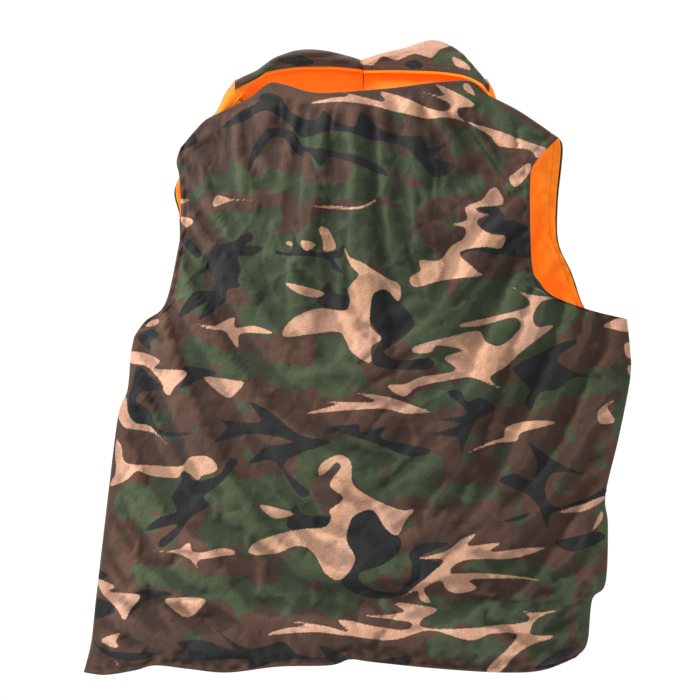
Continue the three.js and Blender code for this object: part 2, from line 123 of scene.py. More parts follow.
# The printed cloth. Closed shapes pass smoothly through their points, on the back as it hangs.
sandShapes = {
    "bone": [
        (192, 424), (168, 421), (157, 427), (144, 431), (143, 419), (119, 421), (98, 412),
        (137, 412), (139, 394), (149, 406), (156, 415), (176, 418),
    ],
    "hook": [(43, 538), (32, 536), (24, 520), (24, 512), (37, 510), (38, 521)],
    "chipLeft": [(83, 520), (77, 522), (74, 515)],
    "chipRight": [(64, 521), (53, 521), (47, 516), (59, 510)],
    "spear": [(83, 472), (66, 469), (38, 461), (44, 455), (60, 457), (73, 463)],
    "bough": [
        (12, 516), (7, 503), (-8, 496), (-37, 478), (-53, 469), (-52, 450), (-37, 464),
        (-23, 460), (-19, 449), (-18, 422), (-31, 406), (-19, 396), (-18, 377), (4, 390),
        (11, 404), (20, 414), (48, 412), (80, 408), (86, 414), (73, 430), (44, 442), (12, 439),
        (6, 452), (8, 466), (-4, 481), (4, 491), (11, 505),
    ],
    "claw": [
        (-161, 584), (-170, 587), (-178, 572), (-173, 566), (-146, 563), (-148, 557),
        (-160, 554), (-146, 548), (-150, 538), (-162, 530), (-179, 528), (-174, 514),
        (-156, 515), (-132, 512), (-125, 505), (-144, 487), (-150, 481), (-102, 475),
        (-72, 467), (-65, 478), (-78, 487), (-77, 499), (-100, 499), (-115, 516), (-130, 526),
        (-131, 538), (-116, 542), (-134, 548), (-132, 563), (-152, 572),
    ],
    "tree": [
        (-188, 467), (-210, 458), (-241, 455), (-222, 450), (-212, 432), (-218, 420),
        (-238, 421), (-200, 392), (-180, 373), (-160, 359), (-180, 343), (-142, 359),
        (-120, 358), (-76, 349), (-58, 337), (-38, 350), (-60, 352), (-78, 360), (-120, 368),
        (-106, 383), (-128, 392), (-98, 398), (-90, 390), (-71, 389), (-72, 397), (-120, 410),
        (-148, 415), (-156, 402), (-174, 398), (-197, 419), (-188, 431), (-148, 421),
        (-122, 422), (-192, 439), (-209, 448), (-198, 460),
    ],
    "fork": [
        (-2, 341), (-37, 337), (-73, 325), (-90, 319), (-60, 317), (-32, 323), (24, 320),
        (61, 316), (22, 328), (34, 331), (-26, 331),
    ],
    "bolt": [
        (-181, 300), (-210, 308), (-242, 305), (-200, 295), (-192, 284), (-168, 281),
        (-133, 270), (-162, 283), (-178, 288),
    ],
    "comma": [(-320, 332), (-304, 325), (-314, 306), (-295, 304), (-293, 319), (-308, 330)],
    "seamTop": [(-300, 422), (-316, 430), (-332, 432), (-332, 415), (-306, 419)],
    "seamMiddle": [(-326, 400), (-335, 400), (-335, 384), (-328, 385)],
    "seamLow": [(-329, 372), (-336, 373), (-334, 360)],
    "drop": [(254, 422), (240, 430), (236, 426), (244, 421)],
    "boot": [
        (274, 390), (252, 388), (234, 379), (241, 370), (206, 368), (203, 361), (216, 348),
        (222, 338), (229, 342), (233, 354), (252, 373), (272, 377),
    ],
    "pod": [(180, 360), (140, 356), (132, 353), (139, 344), (148, 336), (156, 337), (172, 349)],
    "tail": [
        (277, 336), (274, 316), (265, 304), (246, 300), (223, 277), (242, 292), (263, 296),
        (278, 299), (287, 313), (284, 328),
    ],
    "glove": [
        (288, 284), (282, 275), (278, 258), (258, 254), (210, 253), (198, 264), (176, 266),
        (164, 254), (168, 247), (184, 242), (187, 236), (205, 248), (214, 239), (246, 241),
        (262, 247), (275, 236), (296, 228), (289, 245), (290, 266),
    ],
    "lowSpear": [(114, 208), (84, 202), (73, 197), (96, 192)],
    "lowBone": [
        (244, 151), (212, 154), (198, 163), (191, 151), (156, 156), (143, 149), (185, 143),
        (187, 132), (198, 144), (220, 150),
    ],
    "lowBough": [
        (43, 245), (40, 258), (20, 268), (5, 259), (2, 233), (-24, 215), (-54, 203), (-70, 203),
        (-60, 190), (-50, 173), (-36, 182), (-22, 202), (-6, 200), (5, 191), (10, 167),
        (0, 144), (17, 120), (35, 128), (49, 151), (68, 160), (100, 149), (127, 151),
        (112, 167), (66, 179), (36, 182), (28, 194), (30, 203), (14, 217), (30, 233), (17, 253),
        (23, 259), (35, 247),
    ],
    "lowTree": [
        (-144, 174), (-126, 167), (-108, 154), (-76, 146), (-100, 145), (-104, 140), (-88, 126),
        (-66, 106), (-52, 95), (-73, 106), (-78, 95), (-90, 92), (-82, 108), (-102, 118),
        (-109, 107), (-126, 102), (-145, 108), (-138, 118), (-186, 119), (-229, 115),
        (-198, 121), (-150, 126), (-113, 127), (-130, 143), (-186, 143), (-228, 154),
        (-204, 155), (-160, 152), (-172, 163), (-133, 160),
    ],
    "river": [
        (106, 55), (78, 64), (54, 65), (80, 73), (36, 66), (6, 59), (18, 73), (-54, 61),
        (-65, 70), (-13, 78), (-42, 79), (-59, 83), (-46, 92), (-97, 84), (-78, 71), (-90, 62),
        (-186, 65), (-209, 72), (-186, 91), (-212, 78), (-264, 83), (-221, 73), (-210, 52),
        (-239, 48), (-198, 32), (-174, 8), (-157, 10), (-184, 38), (-194, 52), (-162, 55),
        (-136, 48), (-90, 60), (-40, 49), (12, 55), (54, 59),
    ],
    "lowBoot": [
        (312, 115), (290, 107), (298, 100), (259, 98), (270, 80), (277, 68), (286, 80), (305, 98),
    ],
    "lowPod": [(228, 94), (180, 96), (186, 83), (196, 74), (208, 74)],
    "lowComma": [(306, 43), (283, 52), (288, 43), (284, 35), (298, 36)],
    "lowTail": [(298, 25), (280, 11), (290, 16)],
    "hip": [(-246, 197), (-270, 205), (-302, 216), (-294, 206), (-268, 197)],
    "hipFleck": [(-286, 174), (-298, 198), (-299, 188)],
    "crest": [
        (56, 688), (26, 695), (6, 697), (14, 702), (-12, 695), (-37, 690), (-30, 703),
        (-60, 695), (-96, 680), (-113, 682), (-112, 691), (-78, 704), (-109, 698), (-97, 713),
        (-116, 706), (-145, 688), (-124, 683), (-130, 670), (-162, 660), (-198, 647),
        (-234, 634), (-220, 624), (-210, 634), (-174, 638), (-160, 653), (-120, 671),
        (-90, 670), (-54, 677), (-18, 686), (18, 690),
    ],
    "topChip": [(-131, 714), (-138, 714), (-145, 700), (-133, 706)],
    "leaf": [(-185, 599), (-193, 606), (-210, 618), (-210, 606), (-193, 588)],
    "tadpole": [(169, 564), (166, 578), (148, 574), (112, 571), (148, 571)],
    "twig": [(59, 565), (24, 564), (-4, 562), (-25, 572), (-23, 568), (-2, 559), (42, 562)],
    "sliver": [(215, 574), (199, 574), (209, 569)],
    "flake": [(212, 553), (194, 548), (203, 540)],
}
blackShapes = {
    "stag": [
        (179, 493), (170, 516), (148, 521), (126, 533), (122, 523), (134, 518), (109, 515),
        (124, 504), (139, 505), (137, 488), (140, 476), (136, 468), (152, 464), (157, 450),
        (187, 427), (176, 450), (212, 430), (193, 461), (169, 464), (169, 479),
    ],
    "wedge": [(210, 529), (198, 526), (184, 509), (191, 503), (205, 518)],
    "bar": [
        (94, 511), (76, 509), (72, 529), (64, 514), (30, 508), (12, 517), (16, 502), (25, 500),
        (14, 484), (26, 488), (36, 502), (88, 505),
    ],
    "ring": [(46, 450), (32, 473), (23, 460), (4, 456), (1, 444), (24, 440)],
    "blot": [
        (-20, 456), (-37, 464), (-59, 443), (-70, 422), (-52, 403), (-34, 390), (-54, 380),
        (-88, 383), (-90, 370), (-42, 370), (-19, 379), (-30, 407), (-18, 428),
    ],
    "rake": [
        (-146, 563), (-166, 566), (-178, 554), (-178, 546), (-192, 547), (-211, 530),
        (-214, 505), (-174, 506), (-140, 510), (-122, 504), (-131, 520), (-162, 516),
        (-179, 521), (-179, 529), (-152, 535), (-150, 542), (-160, 554),
    ],
    "knob": [(263, 410), (246, 418), (236, 410), (247, 402), (245, 392), (258, 400)],
    "arch": [
        (263, 374), (246, 360), (230, 346), (256, 342), (264, 330), (248, 320), (234, 296),
        (187, 294), (228, 289), (268, 307), (274, 332), (268, 354),
    ],
    "wing": [(206, 373), (164, 366), (182, 359), (210, 346), (202, 361)],
    "web": [
        (125, 330), (102, 320), (66, 292), (29, 283), (68, 269), (84, 253), (54, 224),
        (68, 221), (95, 260), (126, 257), (104, 277), (73, 284), (120, 293), (168, 282),
        (152, 300), (161, 308), (112, 307),
    ],
    "belt": [
        (30, 299), (6, 304), (-5, 304), (-7, 295), (-28, 300), (-37, 301), (-32, 287),
        (-90, 274), (-64, 266), (-18, 284),
    ],
    "crab": [
        (-110, 341), (-125, 344), (-133, 331), (-150, 336), (-167, 323), (-145, 308),
        (-132, 284), (-126, 269), (-120, 289), (-92, 292), (-126, 305), (-97, 310), (-134, 317),
    ],
    "gull": [
        (-188, 371), (-210, 383), (-253, 403), (-266, 401), (-241, 382), (-264, 366),
        (-310, 355), (-268, 360), (-244, 346), (-221, 341), (-210, 320), (-204, 332),
        (-210, 344), (-196, 360),
    ],
    "trunk": [
        (-206, 283), (-222, 272), (-234, 263), (-256, 251), (-281, 241), (-238, 246),
        (-227, 224), (-242, 203), (-282, 215), (-302, 226), (-300, 212), (-238, 196),
        (-233, 174), (-222, 200), (-208, 218), (-172, 236), (-191, 245), (-210, 236), (-218, 257),
    ],
    "stroke": [(-170, 187), (-210, 199), (-198, 190)],
    "hipPatch": [(-241, 162), (-292, 173), (-301, 163), (-264, 150)],
    "lowStag": [
        (150, 263), (140, 258), (160, 234), (180, 218), (174, 206), (196, 193), (210, 173),
        (230, 156), (235, 163), (212, 184), (252, 175), (236, 191), (214, 198), (220, 215),
        (209, 234), (205, 247), (191, 236), (162, 244),
    ],
    "lowRing": [(70, 209), (61, 197), (28, 194), (32, 182), (76, 179), (80, 193)],
    "lowBlot": [
        (4, 196), (-20, 203), (-35, 181), (-54, 169), (-50, 151), (-30, 137), (-4, 127),
        (-16, 110), (-48, 104), (-64, 119), (-67, 138), (-64, 151), (-78, 163), (-112, 163),
        (-78, 148), (-103, 138), (-78, 118), (-54, 100), (-16, 98), (16, 116), (-1, 143),
        (10, 164),
    ],
    "rimChip": [(318, 126), (299, 122), (308, 114)],
    "rimWedge": [(323, 92), (300, 89), (290, 77), (323, 66)],
    "lowWing": [(263, 102), (216, 101), (252, 90), (277, 67)],
    "lowWeb": [
        (173, 67), (128, 38), (86, 47), (66, 31), (12, 24), (78, 25), (126, 13), (132, 25),
        (220, 20), (198, 32), (214, 43), (180, 47), (143, 36),
    ],
    "lowArch": [(318, 42), (296, 30), (239, 29), (264, 19), (300, 24)],
    "hemWedge": [(44, 43), (12, 29), (24, 20)],
    "hemBlot": [(4, 29), (-24, 24), (-66, 30), (-54, 16)],
    "hemCorner": [(-216, 11), (-246, 30), (-266, 32), (-246, 14)],
    "ridge": [
        (162, 660), (138, 680), (116, 692), (112, 702), (90, 698), (76, 678), (49, 667),
        (37, 679), (25, 667), (1, 659), (-8, 677), (-30, 658), (-62, 648), (-85, 648),
        (-88, 634), (-112, 641), (-95, 623), (-120, 614), (-95, 599), (-59, 635), (-18, 644),
        (24, 655), (62, 647), (83, 668), (109, 680), (136, 667),
    ],
    "hanger": [
        (128, 606), (124, 632), (104, 658), (76, 655), (61, 636), (30, 631), (-20, 617),
        (-40, 599), (-6, 611), (28, 623), (41, 611), (56, 629), (68, 625), (85, 646),
        (100, 646), (118, 623),
    ],
    "notch": [(198, 655), (191, 644), (210, 634)],
}
greenStrokes = [   # points along the middle of each blotch, then its half width
    ([(176, 589), (126, 596), (66, 588)], 13),
    ([(52, 641), (12, 644), (-36, 626), (-72, 606)], 13),
    ([(-8, 606), (-54, 577), (-102, 582), (-144, 592)], 13),
    ([(66, 581), (6, 581), (-30, 584)], 10),
    ([(156, 541), (102, 546)], 16),
    ([(112, 512), (66, 486), (24, 527)], 30),
    ([(6, 541), (-48, 541), (-36, 512)], 22),
    ([(190, 498), (203, 467), (186, 450)], 16),
    ([(120, 482), (78, 446), (108, 433)], 26),
    ([(44, 452), (12, 476)], 33),
    ([(-60, 498), (-78, 452), (-92, 416), (-114, 398)], 38),
    ([(-138, 450), (-198, 462), (-240, 434)], 23),
    ([(-174, 414), (-222, 398)], 22),
    ([(30, 392), (28, 354)], 20),
    ([(198, 390), (150, 376), (90, 361), (28, 352)], 15),
    ([(-78, 335), (-150, 340), (-222, 342), (-320, 359)], 15),
    ([(12, 398), (4, 366)], 19),
    ([(52, 270), (-30, 263), (-90, 253)], 19),
    ([(-30, 234), (-84, 234)], 20),
    ([(-138, 265), (-174, 270)], 6),
    ([(-120, 222), (-164, 221)], 10),
    ([(268, 212), (222, 227), (144, 222), (78, 222)], 22),
    ([(156, 186), (102, 176), (66, 206)], 26),
    ([(258, 180), (220, 192)], 10),
    ([(270, 302), (228, 311)], 8),
    ([(244, 121), (186, 113), (114, 101), (40, 96)], 16),
    ([(76, 122), (60, 143)], 20),
    ([(28, 110), (12, 95)], 16),
    ([(-6, 121), (-60, 146)], 10),
    ([(-90, 78), (-192, 77), (-246, 92)], 16),
    ([(-100, 42), (-168, 35)], 14),
    ([(-246, 62), (-228, 26)], 18),
    ([(-282, 143), (-294, 158)], 11),
    ([(-138, 131), (-222, 128), (-253, 114)], 11),
    ([(-292, 110), (-272, 62)], 11),
    ([(-222, 644), (-174, 673), (-138, 697)], 13),
    ([(-128, 654), (-174, 614)], 7),
    ([(-210, 611), (-208, 582)], 8),
    ([(-120, 630), (-136, 644)], 8),
    ([(-300, 212), (-301, 140)], 6),
    ([(-324, 332), (-316, 284)], 7),
]

# Creases on the back: from, to, width and height, where a valley has a height below zero
creases = [
    ((-126, 676), (-188, 588), 9, 3.6), ((-136, 682), (-198, 592), 7, -3.0),
    ((10, 548), (11, 450), 4, -1.8), ((18, 545), (17, 455), 7, 1.2),
    ((126, 380), (42, 332), 8, -1.6), ((6, 332), (-78, 398), 8, -1.8),
    ((-138, 452), (-162, 398), 6, -1.8), ((42, 308), (12, 284), 7, -1.6),
    ((190, 640), (150, 560), 9, 1.6), ((120, 660), (90, 560), 11, 1.3),
    ((205, 520), (120, 470), 8, -1.8), ((200, 470), (130, 420), 9, 1.8),
    ((258, 400), (150, 330), 9, -1.7), ((250, 340), (160, 300), 9, 1.5),
    ((-190, 520), (-120, 470), 9, 1.8), ((-200, 490), (-110, 440), 8, -1.6),
    ((-310, 410), (-200, 350), 10, 1.9), ((-300, 380), (-190, 310), 9, -1.7),
    ((-60, 650), (-90, 560), 10, 1.4), ((0, 660), (-14, 580), 9, -1.1),
    ((60, 250), (140, 190), 11, 1.4), ((-60, 260), (-140, 190), 11, -1.4),
    ((-220, 250), (-170, 150), 12, 1.6), ((230, 250), (200, 140), 12, -1.4),
    ((90, 120), (160, 40), 10, 1.5), ((-20, 120), (-40, 30), 9, -1.3),
    ((-150, 120), (-190, 30), 10, 1.6), ((290, 150), (250, 60), 9, 1.4),
    ((40, 470), (-30, 380), 8, 1.5), ((-90, 330), (-200, 300), 10, -1.4),
    ((118, 672), (84, 640), 3, -1.6), ((84, 640), (78, 610), 3, -1.3), ((62, 640), (28, 560), 4, -1.5),
    ((-54, 648), (-20, 672), 3, -1.2), ((160, 656), (140, 600), 4, -1.3), ((182, 630), (168, 590), 4, 1.4),
    ((-124, 678), (-186, 590), 3, -4.2), ((-60, 520), (-86, 440), 4, -1.6),
    ((-92, 540), (-100, 470), 5, 1.6),
    ((120, 540), (96, 430), 5, -1.5), ((100, 545), (60, 450), 4, 1.4), ((204, 560), (150, 590), 4, -1.3),
    ((218, 500), (160, 520), 4, -1.6), ((-150, 452), (-60, 400), 4, -1.7),
    ((-70, 470), (-20, 400), 4, -1.5),
    ((-200, 590), (-170, 520), 4, -1.4), ((-300, 330), (-240, 280), 4, -1.5),
    ((-286, 420), (-240, 330), 5, 1.6),
    ((-180, 340), (-110, 290), 4, -1.6), ((-40, 330), (20, 250), 5, -1.4), ((90, 360), (150, 260), 5, 1.5),
    ((262, 350), (200, 280), 4, -1.6), ((240, 300), (210, 220), 4, 1.3), ((280, 240), (240, 170), 4, -1.3),
    ((150, 150), (190, 90), 4, -1.4), ((60, 110), (100, 60), 4, 1.3), ((-60, 100), (-20, 40), 4, -1.4),
    ((-120, 230), (-90, 160), 4, 1.4), ((-250, 160), (-220, 90), 4, -1.5),
    ((-280, 110), (-250, 40), 4, 1.2),
]


# Curves and patches
def smoothLine(points, closed=False, steps=16):
    p = np.array(points, float)
    if closed:
        before, start, end, after = (np.roll(p, -k, axis=0) for k in (-1, 0, 1, 2))
    else:
        ends = np.vstack([p[:1], p, p[-1:]])
        before, start, end, after = ends[:-3], ends[1:-2], ends[2:-1], ends[3:]
    t = np.linspace(0, 1, steps, endpoint=False)[None, :, None]
    before, start, end, after = (a[:, None] for a in (before, start, end, after))
    leave, arrive = (end - before) / 2, (after - start) / 2
    cubic = (2 * start - 2 * end + leave + arrive) * t ** 3
    square = (3 * end - 3 * start - 2 * leave - arrive) * t ** 2
    line = (cubic + square + leave * t + start).reshape(-1, p.shape[1])
    return line if closed else np.vstack([line, p[-1:]])


def lengthwise(line):
    # a function that gives the point at each share of a line's length
    steps = np.linalg.norm(np.diff(line, axis=0), axis=1)
    reach = np.concatenate([[0], np.cumsum(steps)]) / steps.sum()
    return lambda t: np.stack([np.interp(t, reach, column) for column in line.T], axis=-1)


def spline(points):
    return lengthwise(smoothLine(points))


def straight(a, b):
    return lengthwise(np.array([a, b], float))


def joined(first, second, share):
    low, high = spline(first), spline(second)

    def at(t):
        t = np.asarray(t, float)
        return np.where((t < share)[..., None], low(t / share), high((t - share) / (1 - share)))
    return at


def patch(bottom, top, start, end):
    corners = [edge(np.array(t)) for edge in (bottom, top) for t in (0.0, 1.0)]

    def at(u, v):
        s, t = u[..., None], v[..., None]
        across = start(v) * (1 - s) + end(v) * s + bottom(u) * (1 - t) + top(u) * t
        return (across - corners[0] * (1 - s) * (1 - t) - corners[1] * s * (1 - t)
                - corners[2] * (1 - s) * t - corners[3] * s * t)
    return at


def heightAt(points, x):
    line = smoothLine(points)
    order = np.argsort(line[:, 0])
    return np.interp(x, line[order, 0], line[order, 1])


def smooth(x, low, high):
    t = np.clip((x - low) / (high - low), 0, 1)
    return t * t * (3 - 2 * t)


def mix(a, b, t):
    return a + (b - a) * t


# Depth of the outer faces from the seam plane
def edgeAt(x, h):
    left, right = (np.array(sideSeam[side], float) for side in (1, -1))
    reachLeft = np.interp(h, left[:, 1], left[:, 0])
    reachRight = np.interp(h, right[:, 1], -right[:, 0])
    return np.where(x > 0, reachLeft, reachRight)


def backDepth(x, h):
    droop = np.where(x > 0, body["leftDroop"], body["rightDroop"])
    top = body["crownHeight"] - body["slope"] * np.abs(x) - droop * x * x
    below = np.clip((top - h) / body["backRise"], 0, 1)
    edge = edgeAt(x, h)
    inside = np.clip((edge - np.abs(x)) / edge, 0, 1)
    across = 1 - (1 - inside) ** body["sideRound"]
    return seamDepth + body["backBulge"] * across * (1 - (1 - below) ** 2)


def foldAt(side, h):
    # the fold line's x and its depth at a height
    top, low = foldTop[side], foldHem[side]
    share = (h - low[1]) / (top[1] - low[1])
    return mix(low[0], top[0], share), mix(body["foldHemDepth"], seamDepth, share)


def frontDepth(x, h):
    depths = []
    for side in (1, -1):
        fold, depth = foldAt(side, h)
        leaf = mix(body["centreDepth"], depth, (x - centreX) / (fold - centreX))
        edge = edgeAt(np.full_like(x, side), h)
        out = np.clip((np.abs(x) - np.abs(fold)) / (edge - np.abs(fold)), 0, 1)
        depths.append(np.where(np.abs(x) <= np.abs(fold), leaf, mix(depth, seamDepth, out)))
    return np.where(x > centreX, depths[0], depths[1])


# Soft random unevenness: many faint waves of about one length, laid in all directions
def makeNoise(seed, shortest, longest, waves=46):
    source = np.random.default_rng(seed)
    turns = source.uniform(0, math.pi, waves)
    numbers = 2 * math.pi / source.uniform(shortest, longest, waves)
    phases = source.uniform(0, 2 * math.pi, waves)

    def at(x, h):
        total = np.zeros_like(x)
        for turn, number, phase in zip(turns, numbers, phases):
            total += np.sin(number * (x * math.cos(turn) + h * math.sin(turn)) + phase)
        return total / math.sqrt(waves / 2)
    return at


def distanceTo(points, start, end):
    # distance from points to a stretch, and how far along it each nearest place is
    start, end = np.array(start, float), np.array(end, float)
    along = end - start
    share = np.clip(((points - start) @ along) / (along @ along), 0, 1)
    return np.linalg.norm(points - start - share[..., None] * along, axis=-1), share


def signedDistance(points, line):
    # distance to a closed line, more than zero inside it
    nearest = np.full(len(points), np.inf)
    inside = np.zeros(len(points), bool)
    for a, b in zip(line, np.roll(line, -1, axis=0)):
        nearest = np.minimum(nearest, distanceTo(points, a, b)[0])
        if a[1] != b[1]:
            spans = (a[1] > points[:, 1]) != (b[1] > points[:, 1])
            cut = a[0] + (b[0] - a[0]) * (points[:, 1] - a[1]) / (b[1] - a[1])
            inside ^= spans & (points[:, 0] < cut)
    return np.where(inside, nearest, -nearest)


printReach = 6.0
shapeSteps = 5


def shapeField(points, shapes):
    field = np.full(len(points), -printReach)
    for outline in shapes.values():
        line = smoothLine(outline, True, shapeSteps)
        low, high = line.min(0) - printReach, line.max(0) + printReach
        near = np.nonzero(((points > low) & (points < high)).all(1))[0]
        if len(near):
            field[near] = np.maximum(field[near], signedDistance(points[near], line))
    return field


def strokeField(points, strokes):
    field = np.full(len(points), -printReach)
    for line, half in strokes:
        for a, b in zip(line, line[1:]):
            field = np.maximum(field, half - distanceTo(points, a, b)[0])
    return field


printWobble = makeNoise(41, 26, 60)
printWobbleFine = makeNoise(42, 9, 20)


greenEdge = {"slow": 3.6, "fine": 1.3}   # how far the green's edge wanders


def printFields(x, h):
    # how far each point lies inside each colour of the print
    points = np.stack([x, h], axis=-1).reshape(-1, 2)
    loose = greenEdge["slow"] * printWobble(points[:, 0], points[:, 1])
    loose += greenEdge["fine"] * printWobbleFine(points[:, 0], points[:, 1])
    return {
        "sand": shapeField(points, sandShapes),
        "black": shapeField(points, blackShapes),
        "green": strokeField(points, greenStrokes) + loose,
    }


# Meshes
def toRow(points):
    row = np.array(points, float) / 1000
    row[..., 2] -= neckHeight / 1000
    return row


def addObject(name, mesh, material):
    thing = bpy.data.objects.new(name, mesh)
    bpy.context.scene.collection.objects.link(thing)
    mesh.materials.append(material)
    return thing


def buildMesh(name, points, faces, fields=None):
    mesh = bpy.data.meshes.new(name)
    mesh.from_pydata(toRow(points).tolist(), [], [list(map(int, face)) for face in faces])
    for key, values in (fields or {}).items():
        layer = mesh.attributes.new(key, "FLOAT", "POINT")
        layer.data.foreach_set("value", np.asarray(values, np.float32).ravel())
    mesh.polygons.foreach_set("use_smooth", np.ones(len(mesh.polygons), bool))
    mesh.update()
    return mesh


def gridFaces(rows, columns, flip=False, first=0):
    index = first + np.arange(rows * columns).reshape(rows, columns)
    corners = [index[:-1, :-1], index[:-1, 1:], index[1:, 1:], index[1:, :-1]]
    faces = np.stack([corner.ravel() for corner in corners], axis=1)
    return faces[:, ::-1] if flip else faces


def facing(points):
    # direction that a grid's faces point, before any flip
    rows, columns = points.shape[:2]
    j, i = rows // 2, columns // 2
    return np.cross(points[j, i + 1] - points[j, i], points[j + 1, i] - points[j, i])


def addSheet(name, points, outward, material, fields=None):
    # a grid of points as cloth whose faces look along outward
    flip = facing(points) @ np.array(outward, float) < 0
    faces = gridFaces(*points.shape[:2], flip)
    return addObject(name, buildMesh(name, points.reshape(-1, 3), faces, fields), material)


def addSlab(name, outer, inner, outward, material):
    # a closed pad between two grids
    rows, columns = outer.shape[:2]
    flip = facing(outer) @ np.array(outward, float) < 0
    size = rows * columns
    faces = [gridFaces(rows, columns, flip), gridFaces(rows, columns, not flip, size)]
    index = np.arange(size).reshape(rows, columns)
    rings = [index[0], index[:, -1], index[-1, ::-1], index[::-1, 0]]
    ring = np.concatenate([line[:-1] for line in rings])
    after = np.roll(ring, -1)
    rim = np.stack([ring, ring + size, after + size, after], axis=1)
    faces.append(rim[:, ::-1] if flip else rim)
    points = np.vstack([outer.reshape(-1, 3), inner.reshape(-1, 3)])
    return addObject(name, buildMesh(name, points, np.vstack(faces)), material)


# Materials
def newMaterial(name):
    material = bpy.data.materials.new(name)
    material.use_nodes = True
    return material, material.node_tree, material.node_tree.nodes["Principled BSDF"]


def place(tree, kind, values=None, **settings):
    # one node: its settings, then its sockets as numbers or links
    made = tree.nodes.new(kind)
    for key, value in settings.items():
        setattr(made, key, value)
    for key, value in (values or {}).items():
        join(tree, value, made.inputs[key])
    return made


def join(tree, value, socket):
    if isinstance(value, bpy.types.NodeSocket):
        tree.links.new(value, socket)
    else:
        socket.default_value = value


def srgb(red, green, blue):
    parts = [c / 255 for c in (red, green, blue)]
    linear = [c / 12.92 if c < 0.04 else ((c + 0.055) / 1.055) ** 2.4 for c in parts]
    return (*linear, 1)


def blendColours(tree, factor, a, b, way="MIX"):
    made = place(tree, "ShaderNodeMix", data_type="RGBA", blend_type=way)
    join(tree, factor, made.inputs[0])
    join(tree, a, made.inputs[6])
    join(tree, b, made.inputs[7])
    return made.outputs[2]


def calculate(tree, operation, a, b=0.0):
    return place(tree, "ShaderNodeMath", {0: a, 1: b}, operation=operation).outputs[0]


def spanned(tree, value, low, high, start=0.0, end=1.0):
    values = {"Value": value, "From Min": low, "From Max": high, "To Min": start, "To Max": end}
    return place(tree, "ShaderNodeMapRange", values).outputs[0]


def noiseOf(tree, place3, scale, detail=2.0, rough=0.5):
    values = {"Vector": place3, "Scale": scale, "Detail": detail, "Roughness": rough}
    return place(tree, "ShaderNodeTexNoise", values).outputs["Fac"]


def objectPlace(tree, turn=(0, 0, 0), size=(1, 1, 1)):
    source = place(tree, "ShaderNodeTexCoord").outputs["Object"]
    values = {"Vector": source, "Rotation": turn, "Scale": size}
    return place(tree, "ShaderNodeMapping", values).outputs[0]


def twill(tree, turn, pitch):
    # ribs of a woven cloth, one every pitch metres
    where = objectPlace(tree, turn)
    values = {"Vector": where, "Scale": 0.314 / pitch, "Distortion": 0.7, "Detail": 1.0}
    return place(tree, "ShaderNodeTexWave", values, bands_direction="X").outputs["Fac"]


def raised(tree, height, distance, strength=1.0, normal=None):
    values = {"Height": height, "Distance": distance, "Strength": strength}
    if normal is not None:
        values["Normal"] = normal
    return place(tree, "ShaderNodeBump", values).outputs[0]


def woven(tree, shader, colour, look):
    # weave, nap and faint random unevenness of tone on top of a cloth's own colour, with painted shade and
    # highlight that follow the weave's ribs and the cloth's folds
    ribs = twill(tree, look["turn"], look["pitch"])
    cross = twill(tree, look["crossTurn"], look["pitch"])
    napPlace = objectPlace(tree, look["turn"], (1, 1, 3.2))
    nap = noiseOf(tree, napPlace, look["napScale"], 3.0, 0.7)
    cloud = noiseOf(tree, objectPlace(tree), look["cloudScale"], 3.0)
    # painted shade and highlight of the weave: lighter on the ribs' raised parts, darker between them; the
    # nap's mottling is partly the fibres' own tone, partly painted highlight where the nap stands up
    shade = calculate(tree, "MULTIPLY", spanned(tree, ribs, 0, 1, 1 - look["rib"], 1 + look["rib"]),
                      spanned(tree, nap, 0.3, 0.7, 1 - look["nap"], 1 + look["nap"]))
    shade = calculate(tree, "MULTIPLY", shade,
                      spanned(tree, cloud, 0.3, 0.7, 1 - look["cloud"], 1 + look["cloud"]))
    # painted shade in the hollows of folds and painted highlight on their ridges, from the fold relief
    # stored on the mesh
    painted_fold_shading = place(tree, "ShaderNodeAttribute", attribute_name="painted_fold_shading").outputs["Fac"]
    shade = calculate(tree, "MULTIPLY", shade,
                      spanned(tree, painted_fold_shading, -1, 1, 1 - look["painted_fold_shading"], 1 + look["painted_fold_shading"]))
    grey = place(tree, "ShaderNodeCombineColor", {0: shade, 1: shade, 2: shade}).outputs[0]
    join(tree, blendColours(tree, 1.0, colour, grey, "MULTIPLY"), shader.inputs["Base Color"])
    weave = calculate(tree, "MAXIMUM", ribs, cross)
    height = calculate(tree, "ADD", weave, calculate(tree, "MULTIPLY", nap, 0.8))
    slow = noiseOf(tree, objectPlace(tree), look["rumpleScale"], 4.0, 0.6)
    soft = raised(tree, slow, look["rumple"])
    join(tree, raised(tree, height, look["depth"], 0.8, soft), shader.inputs["Normal"])
    roughness = spanned(tree, nap, 0.3, 0.7, look["rough"][0], look["rough"][1])
    join(tree, roughness, shader.inputs["Roughness"])
    shader.inputs["Sheen Weight"].default_value = look["sheen"]
    shader.inputs["Sheen Roughness"].default_value = 0.6
    shader.inputs["Specular IOR Level"].default_value = look["gloss"]


# the last entry sets how strongly the folds are painted: painted shade in hollows, painted highlight on
# ridges
camouflageLook = {
    "turn": (0, math.radians(38), 0), "crossTurn": (0, math.radians(-52), 0), "pitch": 0.0011,
    "napScale": 560, "cloudScale": 14, "rib": 0.12, "nap": 0.42, "cloud": 0.13,
    "rumpleScale": 42, "rumple": 0.0032, "depth": 0.00022, "rough": (0.78, 0.98),
    "sheen": 0.12, "gloss": 0.18, "painted_fold_shading": 0.3,
}
camouflageColours = {
    "brown": srgb(88, 63, 51), "brownDark": srgb(70, 51, 42), "green": srgb(70, 80, 56),
    "greenDark": srgb(57, 66, 46), "black": srgb(36, 36, 37), "sand": srgb(208, 160, 136),
    "sandDeep": srgb(196, 150, 120),
}


